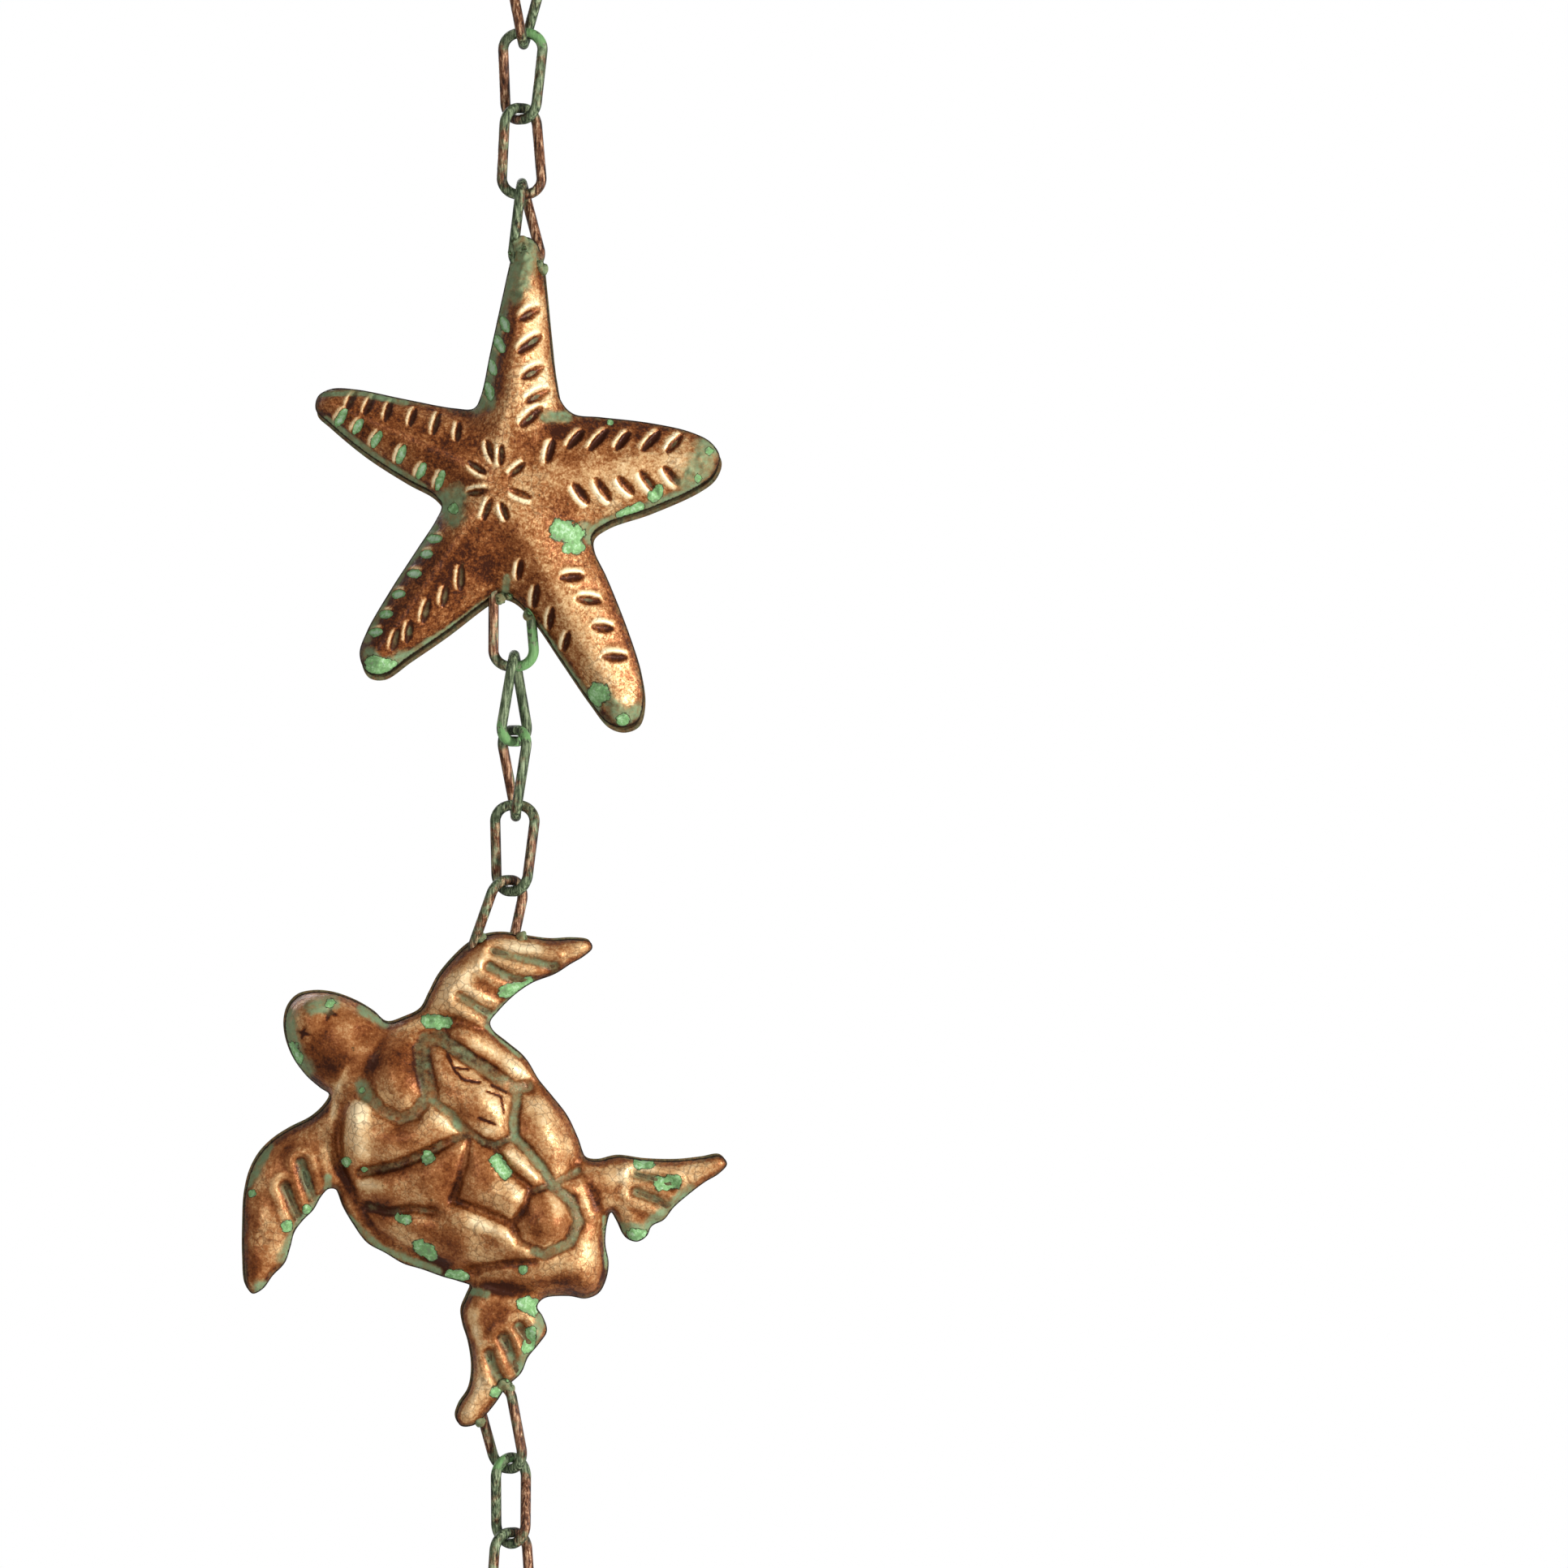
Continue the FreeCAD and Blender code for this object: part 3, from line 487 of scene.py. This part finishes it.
def turtle_form(points):
    """Broad and fine height, and the masks for the finish with its painted highlight and shade, at points of the
    turtle.
    """
    rim = np.maximum(depth_in(points, turtle_curve)[0], 0)
    past_edge, edge = flanged(rim)
    shell_rim = np.maximum(depth_in(points, carapace_curve)[0], 0)
    nearness = np.zeros(len(points))
    crest = np.zeros(len(points))
    for line, first, last in FLIPPER_RIDGES:
        off, _, share = to_line(points, from_px(line, TURTLE_CENTRE))
        weight = 1 / np.maximum(off, 0.05) ** 5
        nearness += weight
        crest += weight * FLIPPER_HEIGHT * (first + (last - first) * share)
    crest /= nearness
    off_ridge = nearness ** (-1 / 5)
    limbs = crest * arch(off_ridge / (off_ridge + past_edge + 1e-6), 2.2, 0.6)
    limbs *= np.clip(1 - shell_rim / 5, 0, 1)
    off, _, share = to_line(points, from_px(HEAD_RIDGE, TURTLE_CENTRE))
    head = HEAD_HEIGHT * arch(off / (off + past_edge + 1e-6), 2.2, 0.6)
    head *= np.clip((16 - off) / 4, 0, 1)
    off, _, share = to_line(points, from_px(CARAPACE_RIDGE, TURTLE_CENTRE))
    inner_rim = np.minimum(shell_rim, past_edge)
    dome = CARAPACE_HEIGHT * arch(off / (off + inner_rim + 1e-6), 2.0, 0.72)
    plates = np.clip(inner_rim / 3, 0, 1)
    closeness = np.zeros(len(points))
    lines = np.zeros(len(points))
    crease = np.zeros(len(points))
    for floor, greenness, line in PLATE_GROOVES:
        away = to_line(points, from_px(line, TURTLE_CENTRE))[0]
        closeness += 1 / np.hypot(np.maximum(away - floor, 0), 0.4) ** 3
        lines = np.maximum(lines, 0.95 * greenness * bell(np.maximum(away - 0.6 * floor, 0), 1.2))
        crease = np.maximum(crease, bell(np.maximum(away - 0.7 * floor, 0), 0.9))
    valley = closeness ** (-1 / 3)
    dome -= PILLOW * plates * np.exp(-valley / PILLOW_REACH)
    for swell, reach, line in PLATE_SWELLS:
        dome += swell * plates * bell(nearest(points, [line]), reach)
    lower = np.maximum(limbs, head)
    on_shell = dome > lower
    broad = np.maximum(np.maximum(lower, dome), 0)
    claws = nearest(points, FLIPPER_GROOVES)
    fine = edge + 0.25 * waves(points, 13, 5) * np.clip(past_edge / 3, 0, 1)
    fine -= CREASE * crease * plates * on_shell
    fine += np.where(on_shell, 0, 0.6 * bell(claws - 3.0, 1.2) - 1.3 * bell(claws, 1.5)) * np.clip(past_edge, 0, 1)
    cracks = bell(nearest(points, TURTLE_CRACKS), 0.3)
    for x, z in eyes:
        dx, dz = points[:, 0] - x, points[:, 1] - z
        for degrees in (-15, 75):
            angle = math.radians(degrees)
            along = dx * math.cos(angle) + dz * math.sin(angle)
            across = dz * math.cos(angle) - dx * math.sin(angle)
            cracks = np.maximum(cracks, bell(across, 0.45) * bell(along, 1.7))
    mint = painted(points, TURTLE_MINT, TURTLE_CENTRE)
    fine += 0.2 * mint * waves(points, 2.4, 13) - 0.6 * cracks
    lines = np.where(on_shell, lines, 0.9 * bell(claws, 1.9))
    junction = bell(dome - lower, 0.7) * (past_edge > 0.5)
    wash = np.maximum(painted(points, TURTLE_WASH, TURTLE_CENTRE), np.maximum(lines, 0.3 * junction))
    # Last come the painted highlight and painted shade of the strokes, with the cracks darker.
    return broad, fine, rim, mint, wash, painted_light_strokes(points, TURTLE_PAINTED_LIGHT, TURTLE_CENTRE) - 1.5 * cracks


def smoothed(triangles, height, rounds, fixed):
    """Heights evened out over their neighbours, apart from the fixed ones."""
    edges = np.concatenate([triangles[:, [0, 1]], triangles[:, [1, 2]], triangles[:, [2, 0]]])
    count = np.maximum(np.bincount(edges.ravel(), minlength=len(height)), 1)
    smooth = height
    for _ in range(rounds):
        total = np.bincount(edges[:, 0], smooth[edges[:, 1]], len(height))
        total += np.bincount(edges[:, 1], smooth[edges[:, 0]], len(height))
        smooth = np.where(fixed, height, total / count)
    return smooth


def mesh_object(name, vertices, triangles):
    mesh = bpy.data.meshes.new(name)
    mesh.vertices.add(len(vertices))
    mesh.vertices.foreach_set("co", vertices.astype(np.float32).ravel())
    mesh.loops.add(3 * len(triangles))
    mesh.loops.foreach_set("vertex_index", triangles.astype(np.int32).ravel())
    mesh.polygons.add(len(triangles))
    mesh.polygons.foreach_set("loop_start", np.arange(0, 3 * len(triangles), 3, dtype=np.int32))
    mesh.polygons.foreach_set("use_smooth", np.ones(len(triangles), bool))
    mesh.update(calc_edges=True)
    mesh.validate()
    made = bpy.data.objects.new(name, mesh)
    bpy.context.scene.collection.objects.link(made)
    return made


def shell(name, curve, form, centre, shift, front, spacing):
    """An embossed sheet half: outer skin, plain inner skin, and the rim that meets the other half."""
    outer, outer_faces, on_rim = lattice(curve, spacing)
    broad, fine, rim, mint, wash, painted_light_and_marks = form(outer)
    height = smoothed(outer_faces, broad, 8, on_rim) + fine
    proud = height - smoothed(outer_faces, height, 14, False)
    # Painted highlight and wear on what stands proud and painted shade in its hollows, with the painted light of the
    # strokes added.
    painted_light_and_wear = 0.4 * np.clip((proud - 0.03) / 0.15, -1, 1) + painted_light_and_marks
    ahead = np.roll(curve, -1, axis=0) - np.roll(curve, 1, axis=0)
    inward = np.stack([ahead[:, 1], -ahead[:, 0]], axis=1)
    inward /= np.linalg.norm(inward, axis=1)[:, None]
    area = np.sum(curve[:, 0] * np.roll(curve[:, 1], -1) - np.roll(curve[:, 0], -1) * curve[:, 1])
    if area > 0:
        inward = -inward
    inner_curve = curve + inward * SHEET_WALL
    inner, inner_faces, _ = lattice(inner_curve, 3 * spacing)
    inner_height = np.maximum(form(inner)[0] - SHEET_WALL, 0)
    places = np.concatenate([outer, inner, curve, inner_curve])
    heights = np.concatenate([np.maximum(height, 0), inner_height, np.zeros(2 * len(curve))]) + SEAM_GAP
    first = len(outer) + len(inner)
    ring = np.arange(len(curve))
    after = np.roll(ring, -1)
    second = first + len(curve)
    band = np.concatenate([
        np.stack([first + ring, second + ring, first + after], axis=1),
        np.stack([first + after, second + ring, second + after], axis=1),
    ])
    faces = np.concatenate([outer_faces, inner_faces[:, ::-1] + len(outer), band])
    side = -1 if front else 1
    if not front:
        faces = faces[:, ::-1]
    places = places + np.array(centre) + np.array(shift)
    vertices = np.stack([places[:, 0], side * heights, places[:, 1]], axis=1) * MM
    made = mesh_object(name, vertices, faces)
    spare = len(vertices) - len(outer)
    masks = {
        "mint": (mint, 0),
        "wash": (np.maximum(wash, 0.55 * bell(rim, 1.8)), 0.8),
        "seam": (bell(rim - 0.1, 0.4), 0.6),
        "painted_light_and_wear": (painted_light_and_wear, 0),
    }
    for mask, (values, elsewhere) in masks.items():
        layer = made.data.attributes.new(mask, "FLOAT", "POINT")
        layer.data.foreach_set("value", np.append(values, np.full(spare, elsewhere)).astype(np.float32))
    return made


class Nodes:
    """Small helpers that build one material's node tree."""

    def __init__(self, name):
        self.material = bpy.data.materials.new(name)
        self.material.use_nodes = True
        self.tree = self.material.node_tree
        self.tree.nodes.clear()
        self.output = self.tree.nodes.new("ShaderNodeOutputMaterial")
        self.shader = self.tree.nodes.new("ShaderNodeBsdfPrincipled")
        self.link(self.shader.outputs["BSDF"], self.output.inputs["Surface"])
        self.place = self.tree.nodes.new("ShaderNodeTexCoord").outputs["Object"]

    def link(self, source, target):
        self.tree.links.new(source, target)

    def put(self, socket, value):
        if isinstance(value, (int, float, tuple)):
            socket.default_value = value
        else:
            self.link(value, socket)

    def noise(self, scale, detail=4.0, roughness=0.55, distortion=0.0, stretch=None):
        node = self.tree.nodes.new("ShaderNodeTexNoise")
        source = self.place
        if stretch:
            mapping = self.tree.nodes.new("ShaderNodeMapping")
            mapping.inputs["Scale"].default_value = stretch
            self.link(source, mapping.inputs["Vector"])
            source = mapping.outputs["Vector"]
        self.link(source, node.inputs["Vector"])
        node.inputs["Scale"].default_value = scale
        node.inputs["Detail"].default_value = detail
        node.inputs["Roughness"].default_value = roughness
        node.inputs["Distortion"].default_value = distortion
        return node.outputs["Fac"]

    def cracks(self, scale, wander):
        """Distance to the nearest of many fine wandering lines, in cells."""
        drift = self.tree.nodes.new("ShaderNodeTexNoise")
        drift.inputs["Scale"].default_value = scale
        self.link(self.place, drift.inputs["Vector"])
        moved = self.tree.nodes.new("ShaderNodeVectorMath")
        moved.operation = "MULTIPLY_ADD"
        self.link(drift.outputs["Color"], moved.inputs[0])
        moved.inputs[1].default_value = (wander, wander, wander)
        self.link(self.place, moved.inputs[2])
        cells = self.tree.nodes.new("ShaderNodeTexVoronoi")
        cells.feature = "DISTANCE_TO_EDGE"
        cells.inputs["Scale"].default_value = scale
        self.link(moved.outputs[0], cells.inputs["Vector"])
        return cells.outputs["Distance"]

    def mask(self, name):
        node = self.tree.nodes.new("ShaderNodeAttribute")
        node.attribute_name = name
        return node.outputs["Fac"]

    def math(self, kind, a, b=0.0):
        node = self.tree.nodes.new("ShaderNodeMath")
        node.operation = kind
        self.put(node.inputs[0], a)
        self.put(node.inputs[1], b)
        return node.outputs[0]

    def weighed(self, *parts):
        """The sum of sockets, each times its own weight."""
        total = 0.0
        for socket, weight in parts:
            node = self.tree.nodes.new("ShaderNodeMath")
            node.operation = "MULTIPLY_ADD"
            self.link(socket, node.inputs[0])
            node.inputs[1].default_value = weight
            self.put(node.inputs[2], total)
            total = node.outputs[0]
        return total

    def ranged(self, value, low, high, to_low=0.0, to_high=1.0):
        node = self.tree.nodes.new("ShaderNodeMapRange")
        node.interpolation_type = "SMOOTHSTEP"
        self.put(node.inputs["Value"], value)
        for socket, number in zip(("From Min", "From Max", "To Min", "To Max"), (low, high, to_low, to_high)):
            node.inputs[socket].default_value = number
        return node.outputs["Result"]

    def ramp(self, value, stops):
        node = self.tree.nodes.new("ShaderNodeValToRGB")
        ramp = node.color_ramp
        while len(ramp.elements) < len(stops):
            ramp.elements.new(0.5)
        for element, (position, colour) in zip(ramp.elements, stops):
            element.position = position
            element.color = colour + (1.0,)
        self.link(value, node.inputs["Fac"])
        return node.outputs["Color"]

    def mix(self, factor, a, b):
        node = self.tree.nodes.new("ShaderNodeMix")
        node.data_type = "RGBA"
        self.put(node.inputs["Factor"], factor)
        self.put(node.inputs["A"], a)
        self.put(node.inputs["B"], b)
        return node.outputs["Result"]

    def bump(self, height, strength, distance, under=None):
        node = self.tree.nodes.new("ShaderNodeBump")
        node.inputs["Strength"].default_value = strength
        node.inputs["Distance"].default_value = distance
        self.link(height, node.inputs["Height"])
        if under is not None:
            self.link(under, node.inputs["Normal"])
        return node.outputs["Normal"]


def srgb(red, green, blue):
    """A screen colour of 0 to 255 as the linear colour that the shader takes."""
    parts = [v / 255 for v in (red, green, blue)]
    return tuple(v / 12.92 if v <= 0.04045 else ((v + 0.055) / 1.055) ** 2.4 for v in parts)


UMBER = srgb(58, 26, 12)
BROWN = srgb(114, 60, 25)
COPPER = srgb(155, 99, 56)
PALE_COPPER = srgb(205, 162, 112)
BURNISH_AND_PAINTED_HIGHLIGHT = srgb(250, 226, 182)
MOSS = srgb(98, 76, 44)
OLIVE = srgb(124, 112, 76)
GREY_GREEN = srgb(120, 142, 106)
MINT = srgb(112, 158, 98)
PALE_MINT = srgb(142, 184, 128)
MILKY_MINT = srgb(186, 212, 182)
SEAM_SHADOW_AND_EDGE_PATINA = srgb(34, 24, 16)


def sheet_material(name, sand):
    """Brown copper sheet with wear and painted highlight where it stands proud, painted shade in its hollows, and
    green where it lies low.
    """
    made = Nodes(name)
    mottle = made.noise(60.0, 4.0, 0.6)
    speckle = made.noise(1900.0, 2.0, 0.6)
    grain = made.noise(900.0, 4.0, 0.7)
    pebble = made.noise(420.0, 4.0, 0.6)
    # The mask brings in the painted highlight, painted shade and wear; the noises are the sheet's own mottle and
    # grain.
    tone = made.weighed((mottle, 1 - sand), (speckle, 0.35 * sand), (grain, 0.65 * sand), (made.mask("painted_light_and_wear"), 0.16))
    colour = made.ramp(tone, [(0.38, UMBER), (0.46, BROWN), (0.54, COPPER), (0.63, PALE_COPPER), (0.8, BURNISH_AND_PAINTED_HIGHLIGHT)])
    crackle = made.ranged(made.cracks(420.0, 0.0016), 0.0, 0.09, 0.5, 0.0)
    crackle = made.math("MULTIPLY", crackle, made.ranged(mottle, 0.4, 0.6))
    colour = made.mix(crackle, colour, UMBER + (1.0,))
    wash = made.weighed((made.mask("wash"), 0.9), (pebble, 1.1), (grain, 0.6))
    wash = made.ranged(wash, 1.1, 1.85, 0.0, 0.92)
    patches = made.noise(300.0, 5.0, 0.75)
    shade = made.weighed((patches, 0.8), (made.mask("wash"), 0.3))
    washed = made.ramp(shade, [(0.42, MOSS), (0.58, OLIVE), (0.74, GREY_GREEN)])
    colour = made.mix(wash, colour, washed)
    crust = made.weighed((made.mask("mint"), 1.0), (pebble, 1.6), (patches, 0.6))
    spot = made.ranged(crust, 1.58, 1.64)
    colour = made.mix(made.ranged(crust, 1.4, 1.56), colour, srgb(58, 58, 36) + (1.0,))
    shade = made.weighed((patches, 0.6), (grain, 0.6), (made.mask("mint"), 0.15))
    mint = made.ramp(shade, [(0.62, GREY_GREEN), (0.7, MINT), (0.78, PALE_MINT), (0.9, MILKY_MINT)])
    colour = made.mix(spot, colour, mint)
    # A dark line at the rim: painted shadow of the seam between the halves, together with dark patina on the edge.
    seam = made.ranged(made.weighed((made.mask("seam"), 1.0), (grain, 0.6)), 0.7, 1.1)
    colour = made.mix(seam, colour, SEAM_SHADOW_AND_EDGE_PATINA + (1.0,))
    covered = made.math("MAXIMUM", made.math("MAXIMUM", spot, seam), wash)
    made.put(made.shader.inputs["Base Color"], colour)
    made.put(made.shader.inputs["Metallic"], made.ranged(covered, 0.0, 1.0, 0.2, 0.0))
    bare = made.ranged(patches, 0.35, 0.65, 0.28, 0.42)
    made.put(made.shader.inputs["Roughness"], made.math("MAXIMUM", bare, made.math("MULTIPLY", covered, 0.75)))
    made.shader.inputs["Specular IOR Level"].default_value = 0.1
    rough = made.bump(made.weighed((speckle, 0.5), (grain, 0.5)), 0.5, 0.00012)
    crusted = made.bump(spot, 0.6, 0.0003, rough)
    made.put(made.shader.inputs["Normal"], made.bump(pebble, 0.4, 0.001, crusted))
    return made.material


DARK_WIRE = srgb(34, 22, 16)
BROWN_WIRE = srgb(112, 70, 46)
PALE_WIRE = srgb(204, 164, 128)
DARK_GREEN_WIRE = srgb(32, 38, 28)
GREEN_WIRE = srgb(98, 112, 82)
PALE_GREEN_WIRE = srgb(164, 176, 140)


def wire_material(name, box, left_green, right_green, top_green, bottom_green):
    """Wire that is part brown copper and part grey-green, greener at its bends."""
    made = Nodes(name)
    low, high = [Vector(corner) for corner in box]
    centre = (low + high) / 2
    separate = made.tree.nodes.new("ShaderNodeSeparateXYZ")
    made.link(made.place, separate.inputs["Vector"])
    x, z = separate.outputs["X"], separate.outputs["Z"]
    facing = made.tree.nodes.new("ShaderNodeSeparateXYZ")
    made.link(made.tree.nodes["Texture Coordinate"].outputs["Normal"], facing.inputs["Vector"])
    painted_front_light = made.math("ABSOLUTE", facing.outputs["Y"])
    streak = made.noise(1900.0, 3.0, 0.6, stretch=(1.0, 1.0, 0.08))
    patches = made.noise(300.0, 4.0, 0.7)
    grain = made.noise(1700.0, 3.0, 0.7)
    # Painted highlight on the front and back of the wire, and painted shade on its sides.
    tone = made.weighed((streak, 0.7), (patches, 0.15), (grain, 0.15), (painted_front_light, 0.15))
    brown = made.ramp(tone, [(0.52, DARK_WIRE), (0.64, BROWN_WIRE), (0.77, PALE_WIRE)])
    grey = made.ramp(tone, [(0.52, DARK_GREEN_WIRE), (0.64, GREEN_WIRE), (0.77, PALE_GREEN_WIRE)])
    side = made.ranged(x, centre.x - 0.003, centre.x + 0.003, left_green, right_green)
    at_top = made.ranged(z, high.z - 0.009, high.z - 0.002, 0.0, top_green)
    at_bottom = made.ranged(z, low.z + 0.002, low.z + 0.009, bottom_green, 0.0)
    ends = made.weighed((at_top, 1.0), (at_bottom, 1.0), (side, 1.0))
    amount = made.weighed((ends, 1.0), (patches, 1.5))
    colour = made.mix(made.ranged(amount, 1.05, 1.45), brown, grey)
    colour = made.mix(made.ranged(amount, 1.85, 2.0, 0.0, 0.85), colour, MINT + (1.0,))
    made.put(made.shader.inputs["Base Color"], colour)
    made.put(made.shader.inputs["Metallic"], made.ranged(amount, 1.05, 1.45, 0.1, 0.0))
    made.put(made.shader.inputs["Roughness"], made.ranged(amount, 1.05, 1.45, 0.3, 0.5))
    made.shader.inputs["Specular IOR Level"].default_value = 0.1
    fine = made.bump(grain, 0.4, 0.0002)
    made.put(made.shader.inputs["Normal"], made.bump(streak, 0.7, 0.0004, fine))
    return made.material


sheet_finish = {
    "starfish": sheet_material("antique_copper_starfish", 0.65),
    "turtle": sheet_material("antique_copper_turtle", 0.4),
}
# The back halves sit a little off the front ones, so their dark edge shows on one side.
SHELLS = [
    ("star_front_shell", star_curve, star_form, STAR_CENTRE, (0, 0), True, "starfish"),
    ("star_back_shell", star_curve, star_form, STAR_CENTRE, (0.5, -1.5), False, "starfish"),
    ("turtle_front_shell", turtle_curve, turtle_form, TURTLE_CENTRE, (0, 0), True, "turtle"),
    ("turtle_back_shell", turtle_curve, turtle_form, TURTLE_CENTRE, (-0.4, 0.5), False, "turtle"),
]
for node, curve, form, centre, shift, front, body in SHELLS:
    made_piece = node.replace("_shell", "_embossed")
    piece = shell(made_piece, curve, form, centre, shift, front, 0.5 if front else 0.7)
    piece.data.materials.append(sheet_finish[body])
    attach(piece, body)
    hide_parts(node)

# Lumps of patina where the wires are soldered into the seams: place in the photograph's
# pixels, millimetres in front of the seam, radius in millimetres
CRUSTS = {
    "star_seam_crust": ("starfish", "star_front_shell", [
        (641, 302, 1.6, 2.5), (648, 309, 2.6, 2.2), (633, 312, 0.9, 1.5), (668, 333, 0.8, 1.7), (664, 326, 1.6, 1.3),
        (616, 738, 0.6, 1.6), (652, 758, 0.3, 1.7), (627, 735, 1.0, 1.1),
    ]),
    "turtle_seam_crust": ("turtle", "turtle_front_shell", [
        (593, 1157, 0.6, 1.7), (643, 1155, 0.6, 1.6), (621, 1705, 0.8, 2.0), (628, 1712, 0.2, 1.5),
        (591, 1752, 0.1, 1.4),
    ]),
}


def crust(name, body, node, lumps):
    """Rough lumps, each a ball that is pushed in and out."""
    generator = np.random.default_rng(len(lumps))
    made = bmesh.new()
    for x, y, ahead, radius in lumps:
        place = from_px([(x, y)], (0, 0))[0]
        middle = Vector((place[0], -ahead, place[1]))
        ball = bmesh.ops.create_icosphere(made, subdivisions=4, radius=radius)["verts"]
        waves_in = generator.uniform(0.8, 2.6, (6, 3)) * generator.choice((-1, 1), (6, 3))
        for vertex in ball:
            swell = sum(math.sin(float(wave @ np.array(vertex.co)) + n) for n, wave in enumerate(waves_in)) / 6
            vertex.co = (middle + vertex.co * (1 + 0.35 * swell)) * MM
    mesh = bpy.data.meshes.new(name)
    made.to_mesh(mesh)
    made.free()
    mesh.polygons.foreach_set("use_smooth", np.ones(len(mesh.polygons), bool))
    for mask, value in (("mint", 0.3), ("wash", 1.0), ("seam", 0.0), ("painted_light_and_wear", -0.3)):
        layer = mesh.attributes.new(mask, "FLOAT", "POINT")
        layer.data.foreach_set("value", np.full(len(mesh.vertices), value, np.float32))
    piece = bpy.data.objects.new(name, mesh)
    bpy.context.scene.collection.objects.link(piece)
    piece.data.materials.append(sheet_finish[body])
    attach(piece, body)


for name, (body, node, lumps) in CRUSTS.items():
    crust(name, body, node, lumps)

# Each wire's green on the left, on the right, and more at its top and bottom
WIRE_GREEN = {
    "link_01": (0.15, 0.75, 0.3, 0.3),
    "link_02": (0.15, 0.6, 0.7, 0.2),
    "link_03": (0.45, 0.15, 0.4, 0.2),
    "link_04": (0.7, 0.0, 0.2, 0.5),
    "link_05": (0.3, 1.15, 0.2, 0.3),
    "link_06": (1.0, 0.95, 0.0, 0.2),
    "link_07": (0.25, 0.7, 0.6, 0.0),
    "link_08": (0.45, 0.4, 0.3, 0.5),
    "link_09": (0.45, 0.3, 0.2, 0.0),
    "link_10": (0.35, 0.3, 0.2, 0.4),
    "link_11": (0.65, 0.2, 0.7, 0.3),
    "link_12": (0.5, 0.1, 0.3, 0.3),
}
for node, greens in WIRE_GREEN.items():
    wire = wire_material("aged_wire_" + node[-2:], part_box(node), *greens)
    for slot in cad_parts[node].material_slots:
        slot.material = wire

# Stage, light and camera
look_at = Vector(((IMAGE_PX / 2 - HANG_PX[0]) / PIXELS_PER_MM, 0, -(IMAGE_PX / 2 - HANG_PX[1]) / PIXELS_PER_MM)) * MM
FLOOR_LEVEL = -0.6
FLOOR_SIZE = 4.4
FLOOR_PALENESS = 0.4
bpy.ops.mesh.primitive_plane_add(size=FLOOR_SIZE, location=(look_at.x, 0, FLOOR_LEVEL))
floor = bpy.context.object
floor.name = "floor"
paper = Nodes("pale_paper")
paper.shader.inputs["Base Color"].default_value = (0.86, 0.86, 0.85, 1.0)
paper.shader.inputs["Roughness"].default_value = 0.9
paper.shader.inputs["Emission Color"].default_value = (1.0, 1.0, 1.0, 1.0)
camera_ray = paper.tree.nodes.new("ShaderNodeLightPath").outputs["Is Camera Ray"]
paper.put(paper.shader.inputs["Emission Strength"], paper.math("MULTIPLY", camera_ray, FLOOR_PALENESS))
floor.data.materials.append(paper.material)

world = bpy.data.worlds.new("studio")
bpy.context.scene.world = world
world.use_nodes = True
tree = world.node_tree
tree.nodes.clear()
ray = tree.nodes.new("ShaderNodeLightPath")
seen = tree.nodes.new("ShaderNodeMath")
seen.operation = "MAXIMUM"
tree.links.new(ray.outputs["Is Camera Ray"], seen.inputs[0])
seen_too = tree.nodes.new("ShaderNodeMath")
seen_too.operation = "MAXIMUM"
tree.links.new(ray.outputs["Is Glossy Ray"], seen_too.inputs[0])
tree.links.new(ray.outputs["Is Transmission Ray"], seen_too.inputs[1])
tree.links.new(seen_too.outputs[0], seen.inputs[1])
strength = tree.nodes.new("ShaderNodeMapRange")
strength.inputs["To Min"].default_value = 0.11
strength.inputs["To Max"].default_value = 1.0
tree.links.new(seen.outputs[0], strength.inputs["Value"])
background = tree.nodes.new("ShaderNodeBackground")
background.inputs["Color"].default_value = (1.0, 1.0, 1.0, 1.0)
tree.links.new(strength.outputs["Result"], background.inputs["Strength"])
world_output = tree.nodes.new("ShaderNodeOutputWorld")
tree.links.new(background.outputs["Background"], world_output.inputs["Surface"])


def lamp(name, place, aim, size, watts):
    data = bpy.data.lights.new(name, "AREA")
    data.shape = "DISK"
    data.size = size
    data.energy = watts
    made = bpy.data.objects.new(name, data)
    bpy.context.scene.collection.objects.link(made)
    made.location = place
    made.rotation_euler = (Vector(aim) - Vector(place)).to_track_quat("-Z", "Y").to_euler()


object_middle = (-0.01, 0.0, -0.23)
lamp("key", (1.42, -0.75, -0.02), object_middle, 0.4, 32.0)
lamp("fill", (-0.7, -1.6, 0.1), object_middle, 0.5, 9.0)
lamp("back", (-0.5, 1.6, 0.5), object_middle, 1.2, 20.0)

CAMERA_DISTANCE = 3.0
camera_data = bpy.data.cameras.new("camera")
camera = bpy.data.objects.new("camera", camera_data)
bpy.context.scene.collection.objects.link(camera)
camera.location = look_at + Vector((0, -CAMERA_DISTANCE, 0))
camera.rotation_euler = (math.radians(90), 0, 0)
camera_data.lens = camera_data.sensor_width * CAMERA_DISTANCE / (IMAGE_PX / PIXELS_PER_MM * MM)
camera_data.clip_end = 20.0
bpy.context.scene.camera = camera
bpy.context.scene.view_settings.view_transform = "Standard"
